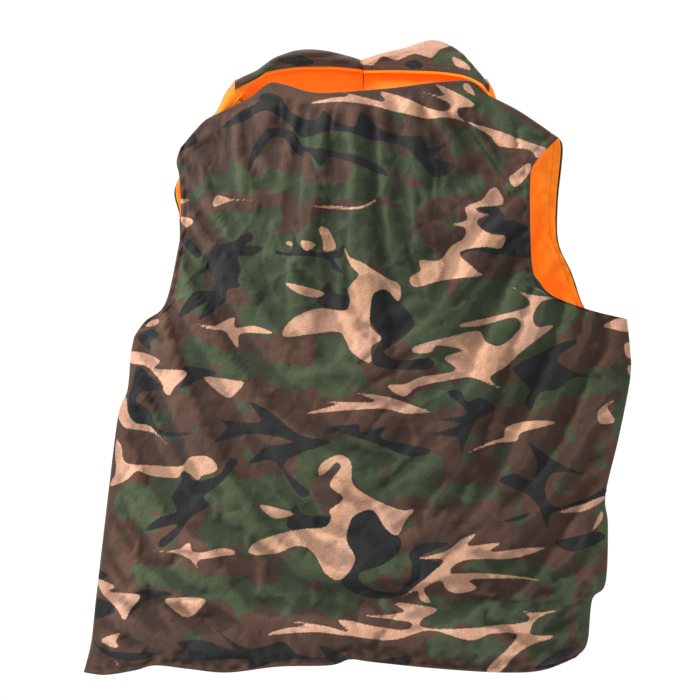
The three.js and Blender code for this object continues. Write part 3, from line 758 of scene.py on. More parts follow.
def makeCamouflage():
    material, tree, shader = newMaterial("camouflage_cloth")
    ink = camouflageColours
    ragged = noiseOf(tree, objectPlace(tree), 420, 2.0)
    shift = spanned(tree, ragged, 0, 1, -1.1, 1.1)
    patches = noiseOf(tree, objectPlace(tree), 9, 2.0)
    share = spanned(tree, patches, 0.35, 0.65)
    colour = blendColours(tree, share, ink["brown"], ink["brownDark"])
    greens = blendColours(tree, share, ink["green"], ink["greenDark"])
    sands = blendColours(tree, share, ink["sand"], ink["sandDeep"])
    for key, layer in (("green", greens), ("black", ink["black"]), ("sand", sands)):
        inside = place(tree, "ShaderNodeAttribute", attribute_name=key).outputs["Fac"]
        edge = calculate(tree, "ADD", inside, shift)
        colour = blendColours(tree, spanned(tree, edge, -0.45, 0.45), colour, layer)
    woven(tree, shader, colour, camouflageLook)
    return material


# its last entry sets the painted fold shade and highlight on the lining
orangeLook = {
    "turn": (0, 0, 0), "crossTurn": (0, math.radians(90), 0), "pitch": 0.0007, "napScale": 500,
    "cloudScale": 16, "rib": 0.03, "nap": 0.05, "cloud": 0.06, "rumpleScale": 60,
    "rumple": 0.0010, "depth": 0.00010, "rough": (0.5, 0.68), "sheen": 0.1, "gloss": 0.25,
    "painted_fold_shading": 0.16,
}
bagLook = dict(orangeLook, rough=(0.8, 0.95), nap=0.12, sheen=0.05)
tapeLook = dict(orangeLook, turn=(0, math.radians(45), 0), crossTurn=(0, math.radians(-45), 0),
                pitch=0.0009, rib=0.12, nap=0.15, depth=0.0002, rough=(0.75, 0.92), rumple=0.0003)
paddingLook = dict(orangeLook, pitch=0.004, napScale=240, nap=0.10, rib=0.02, depth=0.0012,
                   rough=(0.9, 1.0), sheen=0.3)


def makeCloth(name, colour, look):
    material, tree, shader = newMaterial(name)
    woven(tree, shader, colour, look)
    return material


def makeThread(name, colour):
    # twisted thread: fine slanting grooves, with painted shade darkening the colour in them
    material, tree, shader = newMaterial(name)
    ribs = twill(tree, (0.5, math.radians(30), 0.4), 0.0004)
    shade = blendColours(tree, ribs, tuple(c * 0.7 for c in colour[:3]) + (1,), colour)
    join(tree, shade, shader.inputs["Base Color"])
    join(tree, raised(tree, ribs, 0.0001), shader.inputs["Normal"])
    shader.inputs["Roughness"].default_value = 0.7
    return material


def makeMetal(name, dark, bright, rough):
    # worn metal, brighter where handling has rubbed it
    material, tree, shader = newMaterial(name)
    worn = noiseOf(tree, objectPlace(tree), 160, 5.0, 0.65)
    scratches = noiseOf(tree, objectPlace(tree, size=(1, 1, 14)), 900, 2.0)
    colour = blendColours(tree, spanned(tree, worn, 0.42, 0.66), dark, bright)
    join(tree, colour, shader.inputs["Base Color"])
    join(tree, spanned(tree, worn, 0.3, 0.7, rough[0], rough[1]), shader.inputs["Roughness"])
    join(tree, raised(tree, scratches, 0.00004, 0.5), shader.inputs["Normal"])
    shader.inputs["Metallic"].default_value = 1.0
    return material


camouflage = makeCamouflage()
orange = makeCloth("orange_cloth", srgb(255, 134, 10), orangeLook)
paintedGlow = orange.node_tree.nodes["Principled BSDF"].inputs   # blaze orange is fluorescent, and this fixed glow, painted light, brightens the orange cloth even where it lies in shade
paintedGlow["Emission Color"].default_value = srgb(255, 124, 0)
paintedGlow["Emission Strength"].default_value = 0.22
padding = makeCloth("padding", srgb(238, 234, 224), paddingLook)
bagCloth = makeCloth("pocket_cloth", srgb(60, 60, 52), bagLook)
tapeCloth = makeCloth("zip_tape", srgb(44, 46, 40), tapeLook)
darkThread = makeThread("dark_thread", srgb(74, 66, 52))
orangeThread = makeThread("orange_thread", srgb(216, 96, 14))
brass = makeMetal("zip_teeth", srgb(44, 40, 33), srgb(98, 86, 62), (0.36, 0.56))
darkMetal = makeMetal("dark_metal", srgb(52, 50, 48), srgb(112, 108, 102), (0.28, 0.5))
print("materials made")


# Panels. Each is a grid over an outline, closer at its edges, where the cloth rolls round.
rim = {   # how far in each row near an edge lies, and how far round the edge it has gone
    "inset": np.array([1.3, 0.6, 0.15, 0.0, 0.12, 0.55, 1.4, 2.9, 4.7]),
    "round": np.array([1.0, 0.92, 0.74, 0.5, 0.3, 0.14, 0.04, 0.0, 0.0]),
}
liningRoll = 1.7      # how far the lining turns in at an open edge
liningRim = {"inset": np.array([1.7, 2.3, 3.6, 5.5]), "round": np.array([1.0, 0.5, 0.15, 0.0])}
openRoll = 5.8        # how far the shell goes round an open edge
seamRoll = 14         # enough for the shell to reach the seam plane
seamClear = 0.1       # each side of the seam plane
stitchIn = {"armhole": 9.0, "hem": 6.5, "front": 7.5}
puffing = {"dip": 1.5, "liningDip": 1.3, "width": 2.6, "pucker": 1.1, "puckerReach": 17}
folds = {
    "rumple": 0.5, "drape": 1.4, "crumple": 1.5, "ridge": 3.2, "second": 0.8, "third": 0.7, "level": 0.25,
}
calmEdge = {"drape": (0, 45), "rumple": (0, 20), "crumple": (2, 24), "pucker": (0, 7)}   # from an edge
padLayer = {
    "outer": 2.3, "inner": 4.8, "outerThin": 0.9, "innerThin": 0.8, "taper": (8, 26),
    "rise": (0.015, 0.985),
}

pucker = makeNoise(7, 11, 19)
rumple = makeNoise(8, 22, 52)
drape = makeNoise(9, 70, 150)
crumples = [makeNoise(seed, 40, 95) for seed in (31, 32, 33)]


def crumpleField(x, h):
    # sharp ridges where the cloth has been crushed: the places where slow noises pass through zero
    ridges = [np.exp(-np.abs(noise(x, h)) * folds["ridge"]) for noise in crumples]
    return ridges[0] - folds["second"] * ridges[1] + folds["third"] * ridges[2] - folds["level"]


def spread(count, reach, inset):
    # shares across a panel for every row: the insets at both ends and even steps between
    ends = inset / reach[:, None]
    share = np.linspace(0, 1, count)[None]
    inner = mix(ends[:, -1:], 1 - ends[:, -1:], share)
    return np.hstack([ends[:, :-1], inner, 1 - ends[:, -2::-1]])


def rounds(count, values):
    return np.concatenate([values[:-1], np.full(count, values[-1]), values[-2::-1]])


def span(outline, a, b):
    return np.linalg.norm(outline(*b) - outline(*a), axis=-1)


def gridOf(panel, counts, edge, openOnly):
    # the shares (u, v) of every grid point and how far round an edge it has gone
    outline = panel["outline"]
    across, up = counts
    rows, columns = up + 2 * len(edge["inset"]) - 2, across + 2 * len(edge["inset"]) - 2
    v0, u0 = np.linspace(0, 1, rows), np.linspace(0, 1, columns)
    widths = span(outline, (0 * v0, v0), (1 + 0 * v0, v0))
    heights = span(outline, (u0, 0 * u0), (u0, 1 + 0 * u0))
    insetU = np.tile(edge["inset"], (rows, 1))
    insetV = np.tile(edge["inset"], (columns, 1))
    if openOnly:
        insetU = insetU * panel["openSide"](v0)[:, None] + 0.3
        insetV = insetV * np.maximum(panel["openTop"](u0), 0.15)[:, None] + 0.3
    u = spread(across, widths, insetU)
    v = spread(up, heights, insetV).T
    return u, v, rounds(across, edge["round"])[None], rounds(up, edge["round"])[:, None]


def edgeDistances(panel, u, v):
    outline = panel["outline"]
    one, none = np.ones_like(u), np.zeros_like(u)
    width, height = span(outline, (none, v), (one, v)), span(outline, (u, none), (u, one))
    return u * width, (1 - u) * width, v * height, (1 - v) * height


def readPanel(panel, u, v):
    # place, depth and sewing of a panel at shares u and v
    place2 = panel["outline"](u, v)
    x, h = place2[..., 0], place2[..., 1]
    sides = edgeDistances(panel, u, v)
    openSide, openTop = panel["openSide"](v), panel["openTop"](u)
    openness = [panel["startOpen"](openSide), openSide, np.ones_like(u)]   # start, end and hem
    sewn = np.zeros_like(u)
    rippled = np.zeros_like(u)
    for distance, opened, inset in zip(sides, openness, panel["stitchIn"]):
        sewn = np.maximum(sewn, opened * np.exp(-((distance - inset) / puffing["width"]) ** 2))
        rippled = np.maximum(rippled, opened * np.exp(-(distance / puffing["puckerReach"]) ** 2))
    edge = np.minimum.reduce(sides)
    free = smooth(edge, *calmEdge["drape"])
    held = smooth(edge, *calmEdge["rumple"])
    fold = panel["wrinkle"](x, h, u, v) * free + folds["rumple"] * rumple(x, h) * held
    fold += folds["drape"] * drape(x, h) * free
    fold += folds["crumple"] * crumpleField(x, h) * smooth(edge, *calmEdge["crumple"])
    fold += puffing["pucker"] * pucker(x, h) * rippled * smooth(edge, *calmEdge["pucker"])
    return {
        "u": u, "v": v, "x": x, "h": h, "depth": panel["depthAt"](x, h), "fold": fold, "sewn": sewn,
        "openSide": openSide, "openTop": openTop,
    }


def stack(panel, read, depth):
    floor = panel["floor"]
    y = panel["outward"] * np.maximum(depth, floor) if floor is not None else panel["outward"] * depth
    return np.stack([read["x"], y, read["h"]], axis=-1)


def rolled(panel, read, roundU, roundV):
    opening = np.where(roundU >= roundV, read["openSide"], read["openTop"])
    bottom = (read["v"] < 0.5) & (roundV > roundU)
    startEdge = (read["u"] < 0.5) & (roundU >= roundV)
    opening = np.where(bottom, 1.0, opening)
    if panel["name"] != "back":
        opening = np.where(startEdge, 1.0, opening)
    return np.maximum(roundU, roundV) * mix(seamRoll, openRoll, opening)


def shellPoints(panel, u, v, roundU=None, roundV=None, lift=0.0):
    read = readPanel(panel, u, v)
    depth = read["depth"] + read["fold"] - puffing["dip"] * read["sewn"] + lift
    if roundU is not None:
        depth = depth - rolled(panel, read, roundU, roundV)
    return stack(panel, read, depth)


def liningPoints(panel, u, v, roundU=None, roundV=None, lift=0.0):
    read = readPanel(panel, u, v)
    depth = read["depth"] - padThickness + read["fold"] + puffing["liningDip"] * read["sewn"] - lift
    if roundU is not None:
        opening = np.where(roundU >= roundV, read["openSide"], 1.0)
        depth = depth + np.maximum(roundU, roundV) * liningRoll * opening
    return stack(panel, read, depth)


def padPoints(panel, u, v, inner):
    read = readPanel(panel, u, v)
    edge = np.minimum.reduce(edgeDistances(panel, u, v))
    thin = 1 - smooth(edge, *padLayer["taper"])
    if inner:
        inset = padLayer["inner"] - padLayer["innerThin"] * thin
    else:
        inset = padLayer["outer"] + padLayer["outerThin"] * thin
    return stack(panel, read, read["depth"] + read["fold"] - inset)


def cubicWeights(count, shares):
    # weights that read a row of evenly spaced values smoothly between them
    weights = np.zeros((len(shares), count))
    at = np.clip(shares, 0, 1) * (count - 1)
    first = np.clip(np.floor(at).astype(int), 0, count - 2)
    t = at - first
    parts = [-t / 2 + t ** 2 - t ** 3 / 2, 1 - 2.5 * t ** 2 + 1.5 * t ** 3,
             t / 2 + 2 * t ** 2 - 1.5 * t ** 3, (t ** 3 - t ** 2) / 2]
    for k, part in enumerate(parts):
        np.add.at(weights, (np.arange(len(shares)), np.clip(first + k - 1, 0, count - 1)), part)
    return weights


# The back settles as cloth that is a little too big for its sewn edges, which wrinkles it
settling = {
    "cells": (92, 108), "growth": 0.045, "frames": 26, "most": 6.5, "hold": 0.02, "blur": 5,
    "boost": 2.1,
}


def softened(grid, reach):
    # each value averaged with those near it
    offsets = np.arange(-3 * reach, 3 * reach + 1)
    weights = np.exp(-(offsets / reach) ** 2)
    weights /= weights.sum()
    for axis in (0, 1):
        wide = [(0, 0), (0, 0)]
        wide[axis] = (3 * reach, 3 * reach)
        padded = np.pad(grid, wide, mode="edge")
        grid = np.apply_along_axis(lambda line: np.convolve(line, weights, "valid"), axis, padded)
    return grid


def settle(outline, depthAt, seed):
    columns, rows = settling["cells"]
    u, v = np.meshgrid(np.linspace(0, 1, columns), np.linspace(0, 1, rows))
    place2 = outline(u, v)
    x, h = place2[..., 0], place2[..., 1]
    y = depthAt(x, h)
    start = 0.5 * makeNoise(seed, 30, 70)(x, h)
    mesh = buildMesh("settling", np.stack([x, y + start, h], -1).reshape(-1, 3), gridFaces(rows, columns))
    cloth = bpy.data.objects.new("settling", mesh)
    bpy.context.scene.collection.objects.link(cloth)
    group = cloth.vertex_groups.new(name="held")
    border = np.zeros((rows, columns), bool)
    border[:2], border[-2:], border[:, :2], border[:, -2:] = True, True, True, True
    group.add(np.nonzero(border.ravel())[0].tolist(), 1.0, "REPLACE")
    group.add(np.nonzero(~border.ravel())[0].tolist(), settling["hold"], "REPLACE")
    modifier = cloth.modifiers.new("settling", "CLOTH")
    facts = modifier.settings
    facts.quality = 5
    facts.mass = 0.25
    facts.tension_stiffness = facts.compression_stiffness = 12
    facts.shear_stiffness = 6
    facts.bending_stiffness = 0.06
    facts.shrink_min = -settling["growth"]
    facts.vertex_group_mass = "held"
    facts.pin_stiffness = 1.0
    facts.effector_weights.gravity = 0.15
    modifier.collision_settings.use_collision = False
    scene = bpy.context.scene
    modifier.point_cache.frame_end = settling["frames"]
    for number in range(1, settling["frames"] + 1):
        scene.frame_set(number)
    settled = cloth.evaluated_get(bpy.context.evaluated_depsgraph_get()).data
    found = np.empty(len(settled.vertices) * 3)
    settled.vertices.foreach_get("co", found)
    moved = found.reshape(rows, columns, 3)[..., 1] * 1000 - y
    bpy.data.objects.remove(cloth)
    scene.frame_set(1)
    wrinkled = moved - softened(moved, settling["blur"])
    print("settled", round(float(wrinkled.min()), 1), round(float(wrinkled.max()), 1))
    return settling["most"] * np.tanh(wrinkled * settling["boost"] / settling["most"])


def creaseField(x, h):
    total = np.zeros_like(x)
    points = np.stack([x, h], axis=-1)
    for start, end, width, height in creases:
        distance, share = distanceTo(points, start, end)
        taper = np.sin(math.pi * mix(0.12, 0.88, share))
        total += 1.25 * height * np.exp(-distance / (0.75 * width)) * taper
    return total


def openAbove(share):
    return lambda v: smooth(np.asarray(v, float), share - 0.006, share + 0.012)


backOutline = patch(
    spline(hem), spline(backTop), joined(sideSeam[1], backArmhole[1], body["seamShare"]),
    joined(sideSeam[-1], backArmhole[-1], body["seamShare"]),
)
backSettled = settle(backOutline, backDepth, 21)


def settledAt(u, v):
    rows, columns = backSettled.shape
    columnWeights = cubicWeights(columns, u.ravel())
    rowWeights = cubicWeights(rows, v.ravel())
    return np.einsum("pr,rc,pc->p", rowWeights, backSettled, columnWeights).reshape(u.shape)


def sampleSettled(u, v):
    # read the settled cloth in small batches, to keep the weights small
    flatU, flatV = u.ravel(), v.ravel()
    parts = [settledAt(flatU[k:k + 4000], flatV[k:k + 4000]) for k in range(0, len(flatU), 4000)]
    return np.concatenate(parts).reshape(u.shape)


def neckOpen(u):
    x = spline(backTop)(np.asarray(u, float))[..., 0]
    return smooth(x, -112, -100) * (1 - smooth(x, 88, 100))


back = {
    "name": "back", "outline": backOutline, "depthAt": backDepth, "outward": 1, "floor": seamClear,
    "openSide": openAbove(body["seamShare"]), "openTop": neckOpen,
    "startOpen": lambda opened: opened,
    "stitchIn": (stitchIn["armhole"], stitchIn["armhole"], stitchIn["hem"]),
    "padShare": (0.02, 0.98),
    "wrinkle": lambda x, h, u, v: creaseField(x, h) + sampleSettled(u, v),
}


def hollows(fold):
    # how far each place stands out of its surroundings, less than zero in a fold's hollow; the cloth is
    # coloured by it as painted shade in hollows and painted highlight on ridges
    return np.clip((fold - softened(fold, 4)) / 0.8, -1, 1)


def withPrint(points, turned=False):
    x, h = points[..., 0], points[..., 2]
    return printFields(12 - 0.96 * x, 705 - h) if turned else printFields(x, h)


def buildPanel(panel, names, counts, turned):
    u, v, roundU, roundV = gridOf(panel, counts["shell"], rim, False)
    points = shellPoints(panel, u, v, roundU, roundV)
    outward = (0, panel["outward"], 0)
    fields = withPrint(points, turned)
    # the shell's fold relief, for painted shade in its hollows and painted highlight on its ridges
    fields["painted_fold_shading"] = hollows(readPanel(panel, u, v)["fold"])
    shell = addSheet(names[0], points, outward, camouflage, fields)
    print(names[0], "made")
    u, v, roundU, roundV = gridOf(panel, counts["lining"], liningRim, True)
    points = liningPoints(panel, u, v, roundU, roundV)
    # the lining's folds, seen from inside, get the same painted shade and highlight
    fields = {"painted_fold_shading": -hollows(readPanel(panel, u, v)["fold"])}
    lining = addSheet(names[1], points, (0, -panel["outward"], 0), orange, fields)
    padU = np.linspace(*panel["padShare"], counts["pad"][0])
    u, v = np.meshgrid(padU, np.linspace(*padLayer["rise"], counts["pad"][1]))
    outer, inner = padPoints(panel, u, v, False), padPoints(panel, u, v, True)
    pad = addSlab(names[2], outer, inner, outward, padding)
    return shell, lining, pad


backCounts = {"shell": (206, 236), "lining": (120, 140), "pad": (120, 140)}
backShell, backLining, backPad = buildPanel(
    back, ("back_cloth", "back_lining_cloth", "back_padding"), backCounts, False)
for thing, node in ((backShell, "back_shell"), (backLining, "back_lining"), (backPad, "back_wadding")):
    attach(thing, "body")
    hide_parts(node)


# Fronts: leaf and side in one piece of cloth, which bends along the fold line between them
# leafShare is the part of a front's width that is leaf, and calm the part beside the zip that lies flat
frontCloth = {"leafShare": 0.7, "wrinkle": 0.55, "calm": 0.15}


def frontPanel(side):
    low, top, leafTop = foldHem[side], foldTop[side], neckLine[side]
    edgeX = centreX + side * body["frontEdge"]
    leaf = patch(
        straight((edgeX, body["frontHemHeight"]), low), spline(leafTop[1:][::-1] + [top]),
        straight((edgeX, body["frontHemHeight"]), (edgeX, body["frontNeckHeight"])),
        straight(low, top),
    )
    outer = patch(
        straight(low, sideSeam[side][0]), spline(shoulder[side]), straight(low, top),
        joined(sideSeam[side], frontArmhole[side], body["seamShare"]),
    )
    share = frontCloth["leafShare"]

    def outline(u, v):
        inLeaf = leaf(np.clip(u / share, 0, 1), v)
        inSide = outer(np.clip((u - share) / (1 - share), 0, 1), v)
        return np.where((u < share)[..., None], inLeaf, inSide)

    def wrinkle(x, h, u, v):
        return frontCloth["wrinkle"] * sampleSettled(u, v) * smooth(u, 0, frontCloth["calm"])

    return {
        "name": sideName[side], "outline": outline, "depthAt": frontDepth, "outward": -1,
        "floor": seamClear, "openSide": openAbove(body["seamShare"]),
        "openTop": lambda u: 1 - smooth(np.asarray(u, float), share - 0.02, share + 0.02),
        "startOpen": lambda opened: np.ones_like(opened),
        "stitchIn": (stitchIn["front"], stitchIn["armhole"], stitchIn["hem"]),
        "wrinkle": wrinkle, "padShare": (0.055, 0.96),
    }


def bendWithLeaf(thing, side):
    # bakes the object's placement into its mesh; the ends of a short stretch across the fold line are
    # worked out, but nothing uses them
    low, top = (np.array(point, float) for point in (foldHem[side], foldTop[side]))
    along = (top - low) / np.linalg.norm(top - low)
    inward = np.array([-side * along[1], side * along[0]])
    middle = (low + top) / 2
    ends = []
    for reach in (-22, 30):
        x, h = middle + inward * reach
        ends.append(Vector((x / 1000, -0.02, (h - neckHeight) / 1000)))
    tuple(ends[0])
    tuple(ends[1])
    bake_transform(thing)


frontCounts = {"shell": (108, 200), "lining": (80, 130), "pad": (70, 130)}
fronts = {}
for side in (1, -1):
    name = sideName[side]
    fronts[side] = frontPanel(side)
    made = buildPanel(
        fronts[side], (f"{name}_front_cloth", f"{name}_front_lining_cloth", f"{name}_front_padding"),
        frontCounts, True)
    for thing, layer in zip(made, ("shell", "lining", "wadding")):
        bendWithLeaf(thing, side)
        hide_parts(f"{name}_front_{layer}", f"{name}_side_{layer}")
print("fronts made")


# Collar: each front half stands up from the neck seam and folds over inwards
collar = {
    "roll": 9.0, "seamGap": 0.5, "overlap": 3.5, "behind": 2.2, "lip": 3.6, "columns": 110,
    "stitchUp": 7.0, "flat": (0.17, 0.1), "waver": 1.0, "liningIn": 1.5, "tuck": (0.9, -2.5),
    "printDrop": 300, "printTop": 718, "printRows": 15,
}
collarWaver = makeNoise(15, 24, 60)
collarSand = {
    "lapel": [
        (-9, 754), (-34, 762), (-62, 768), (-96, 774), (-118, 764), (-102, 757), (-92, 748),
        (-72, 754), (-52, 747), (-34, 752), (-22, 742), (-8, 744),
    ],
    "tongue": [(-118, 748), (-132, 742), (-140, 732), (-124, 736)],
}
collarBlack = {
    "smudge": [(96, 746), (70, 752), (50, 744), (66, 738)],
    "fleck": [(-60, 742), (-74, 746), (-84, 738), (-70, 735)],
}
collarGreen = [([(-104, 748), (-132, 744), (-148, 728)], 9), ([(120, 732), (104, 738)], 6)]


def collarLine(side, x):
    # seam, standing depth, middle of the fold and free edge at one place along the collar
    seam = heightAt(neckLine[side], x)
    stand = -frontDepth(x, seam)
    middle = heightAt(collarFold[side], x) - collar["roll"]
    edge = np.minimum(heightAt(collarEdge[side], x), middle - 2)
    return seam + collar["seamGap"], stand, middle, edge


def collarRows(x, side, inset, low, lip):
    # up the standing part, over the fold, down the flap and round its edge
    seam, stand, middle, edge = collarLine(side, x)
    radius = collar["roll"] - inset
    centre = stand + collar["roll"]
    rows = []
    if low == 0:   # the shell's foot is tucked behind the neck seam
        rows.append((stand + inset + collar["tuck"][0], seam + collar["tuck"][1]))
    for share in np.linspace(0, 1, 10):
        rows.append((stand + inset + 0 * x, mix(seam + low, middle, share)))
    for angle in np.linspace(math.pi, 0, 15)[1:-1]:
        rows.append((centre + radius * math.cos(angle), middle + radius * math.sin(angle)))
    for share in np.linspace(0, 1, 10):
        rows.append((centre + radius, mix(middle, edge - lip, share)))
    for angle in (30, 60, 90, 130, 170):
        turn = math.radians(angle)
        rows.append((centre + radius - 0.8 * (1 - math.cos(turn)), edge - lip - 0.8 * math.sin(turn)))
    return rows


def collarSheet(side, inset, low, lip, ends):
    first, last = collarFold[side][0][0] - side * 1.5, centreX + ends
    shares = np.linspace(0, 1, collar["columns"])
    x = mix(first, last, shares)
    rows = collarRows(x, side, inset, low, lip)
    points = np.stack([np.stack([x, y, h], -1) for y, h in rows])
    height = np.linspace(0, 1, len(rows))[:, None]
    wave = collar["waver"] * collarWaver(points[..., 0], 3 * points[..., 2])
    points[..., 1] += wave * np.sin(math.pi * np.clip(height * 1.1, 0, 1))
    tucked = smooth(np.abs(x - centreX), 9, 1) if side > 0 else 0 * x
    points[..., 1] -= collar["behind"] * tucked
    return points


def buildCollar(side):
    name = sideName[side]
    reach = -collar["overlap"] if side > 0 else -0.4
    points = collarSheet(side, 0.1, 0, 0, reach)
    flat = points[..., [0, 2]].reshape(-1, 2)
    fields = {
        "sand": shapeField(flat, collarSand), "black": shapeField(flat, collarBlack),
        "green": strokeField(flat, collarGreen),
    }
    # the standing part carries more of the print, which ends below the fold
    more = printFields(points[..., 0], points[..., 2] - collar["printDrop"])
    fade = np.maximum(points[..., 2] - collar["printTop"], 0)
    fade[collar["printRows"]:] = 1000
    fields = {key: np.maximum(fields[key], more[key] - fade.ravel()) for key in fields}
    flip = facing(points)[1] > 0   # the standing part's outer face looks forwards
    mesh = buildMesh(f"{name}_collar_cloth", points.reshape(-1, 3),
                     gridFaces(*points.shape[:2], flip), fields)
    shell = addObject(f"{name}_collar_cloth", mesh, camouflage)
    points = collarSheet(side, collar["liningIn"], -5, collar["lip"], reach + side * 0.8)
    mesh = buildMesh(f"{name}_collar_lining_cloth", points.reshape(-1, 3),
                     gridFaces(*points.shape[:2], not flip))
    lining = addObject(f"{name}_collar_lining_cloth", mesh, orange)
    for thing, node in ((shell, "shell"), (lining, "lining")):
        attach(thing, f"{name}_leaf")
        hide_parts(f"{name}_collar_{node}")


# The facing round the neck stands above each shoulder as a rolled orange strip with a dark edge
neckStrips = {
    1: {
        "outer": [(144, 722), (157, 705), (164, 690), (171, 678)],
        "inner": [(128, 712), (140, 698), (158, 678)],
    },
    -1: {
        "outer": [(-160, 722), (-168, 708), (-172, 696)],
        "inner": [(-150, 716), (-157, 705), (-161, 696)],
    },
}


def buildNeckStrip(side):
    name = sideName[side]
    along = np.linspace(0, 1, 40)
    outer, inner = spline(neckStrips[side]["outer"])(along), spline(neckStrips[side]["inner"])(along)
    for kind, shares, depth, material, outward in (
            ("facing", np.linspace(0.05, 1, 12), 0.0, orange, 1),
            ("edging", np.linspace(0, 1, 12), -1.6, camouflage, -1)):
        rows = []
        for share in shares:
            flat = mix(outer, inner, share)
            bow = 2.6 * math.sin(math.pi * min(share * 1.1, 1)) if outward > 0 else 0.0
            y = depth + bow + 0.5 * collarWaver(flat[:, 0], flat[:, 1]) + 0 * flat[:, 0]
            rows.append(np.stack([flat[:, 0], y, flat[:, 1]], axis=-1))
        thing = addSheet(f"{name}_neck_{kind}", np.array(rows), (0, outward, 0), material)
        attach(thing, "body")


for side in (1, -1):
    buildCollar(side)
    buildNeckStrip(side)


# Back collar, folded down inside the neck
backCollar = {"span": (70, -95), "height": 45, "gap": 3.0, "columns": 90, "rows": 26}


def buildBackCollar():
    shares, drops = np.linspace(0, 1, backCollar["columns"]), np.linspace(0, 1, backCollar["rows"])
    x, drop = np.meshgrid(mix(*backCollar["span"], shares), drops)
    top = heightAt(backTop, x) - 0.4
    h = top - drop * backCollar["height"]
    ripple = 0.5 * collarWaver(x, 2 * h) * np.sin(math.pi * drop)
    for name, inset, material, node, outward in (
            ("back_collar_cloth", 3.2, camouflage, "collar_back_shell", 1),
            ("back_collar_lining_cloth", 4.9, orange, "collar_back_lining", -1)):
        edgeTurn = 1.2 * np.exp(-((1 - drop) * backCollar["height"] / 2) ** 2) * outward
        y = backDepth(x, h) - padThickness - inset + ripple - edgeTurn
        points = np.stack([x, y, h], axis=-1)
        fields = withPrint(points, True) if material is camouflage else None
        thing = addSheet(name, points, (0, outward, 0), material, fields)
        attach(thing, "body")
        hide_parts(node)


buildBackCollar()
print("collar made")


# Small repeated things laid along lines by Geometry Nodes: stitches and zip teeth
def makeRowTree():
    tree = bpy.data.node_groups.new("row_of_items", "GeometryNodeTree")
    tree.is_modifier = True
    sockets = [
        ("Line", "NodeSocketGeometry"), ("Spacing", "NodeSocketFloat"), ("Item", "NodeSocketObject"),
        ("Finish", "NodeSocketMaterial"), ("Follow", "NodeSocketBool"), ("Sway", "NodeSocketFloat"),
    ]
    for name, kind in sockets:
        tree.interface.new_socket(name, in_out="INPUT", socket_type=kind)
    tree.interface.new_socket("Row", in_out="OUTPUT", socket_type="NodeSocketGeometry")
    given = tree.nodes.new("NodeGroupInput").outputs
    points = place(tree, "GeometryNodeCurveToPoints", {
        "Curve": given["Line"], "Length": given["Spacing"]}, mode="LENGTH")
    turned = place(tree, "FunctionNodeAlignRotationToVector", {
        "Vector": points.outputs["Tangent"]}, axis="X")
    sway = place(tree, "FunctionNodeRandomValue", {"Seed": 5}, data_type="FLOAT")
    negative = place(tree, "ShaderNodeMath", {0: given["Sway"], 1: -1.0}, operation="MULTIPLY").outputs[0]
    tree.links.new(negative, sway.inputs[2])
    tree.links.new(given["Sway"], sway.inputs[3])
    spin = place(tree, "FunctionNodeEulerToRotation", {
        "Euler": place(tree, "ShaderNodeCombineXYZ", {"Z": sway.outputs[1]}).outputs[0]})
    following = place(tree, "FunctionNodeRotateRotation", {
        "Rotation": turned.outputs[0], "Rotate By": spin.outputs[0]}, rotation_space="LOCAL")
    chosen = place(tree, "GeometryNodeSwitch", {
        "Switch": given["Follow"], "True": following.outputs[0]}, input_type="ROTATION")
    item = place(tree, "GeometryNodeObjectInfo", {"Object": given["Item"]})
    row = place(tree, "GeometryNodeInstanceOnPoints", {
        "Points": points.outputs["Points"], "Instance": item.outputs["Geometry"],
        "Rotation": chosen.outputs[0]})
    whole = place(tree, "GeometryNodeRealizeInstances", {"Geometry": row.outputs[0]})
    finished = place(tree, "GeometryNodeSetMaterial", {
        "Geometry": whole.outputs[0], "Material": given["Finish"]})
    out = tree.nodes.new("NodeGroupOutput")
    tree.links.new(finished.outputs[0], out.inputs["Row"])
    return tree


rowTree = makeRowTree()
rowInputs = {socket.name: socket.identifier for socket in rowTree.interface.items_tree
             if socket.in_out == "INPUT"}


def layRow(name, lines, item, spacing, material, follow, sway=0.0):
    # items along lines of points in metres, as one mesh
    data = bpy.data.curves.new(name, "CURVE")
    data.dimensions = "3D"
    for line in lines:
        route = data.splines.new("POLY")
        route.points.add(len(line) - 1)
        for point, place3 in zip(route.points, line):
            point.co = (*place3, 1)
    path = bpy.data.objects.new(name, data)
    bpy.context.scene.collection.objects.link(path)
    modifier = path.modifiers.new("row", "NODES")
    modifier.node_group = rowTree
    values = {"Spacing": spacing, "Item": item, "Finish": material, "Follow": follow, "Sway": sway}
    for key, value in values.items():
        modifier[rowInputs[key]] = value
    ready = path.evaluated_get(bpy.context.evaluated_depsgraph_get())
    mesh = bpy.data.meshes.new_from_object(ready)
    bpy.data.objects.remove(path)
    mesh.name = name
    mesh.polygons.foreach_set("use_smooth", np.ones(len(mesh.polygons), bool))
    thing = bpy.data.objects.new(name, mesh)
    bpy.context.scene.collection.objects.link(thing)
    return thing


def makeItem(name, rings):
    # a small closed shape from rings of points in millimetres
    count = len(rings[0])
    points = np.vstack([np.array(ring, float) for ring in rings]) / 1000
    faces = [tuple(range(count))[::-1]]
    for ring in range(len(rings) - 1):
        for k in range(count):
            a, b = ring * count + k, ring * count + (k + 1) % count
            faces.append((a, b, b + count, a + count))
    faces.append(tuple(range((len(rings) - 1) * count, len(rings) * count)))
    mesh = bpy.data.meshes.new(name)
    mesh.from_pydata(points.tolist(), [], faces)
    return bpy.data.objects.new(name, mesh)


def makeStitch(length, radius):
    # thread that arches out of the cloth and back into it
    rings = []
    for share in np.linspace(-1, 1, 6):
        thick = radius * (1 - 0.55 * share ** 4)
        sides = [k * 2 * math.pi / 6 for k in range(6)]
        rings.append([(share * length / 2, thick * math.cos(a), thick * math.sin(a)) for a in sides])
    return makeItem("stitch", rings)


toothFoot = 4.2         # from the middle of the zip to the foot of a tooth
toothCorner = 0.6       # where a tooth's corners are cut, as a share of its half sizes


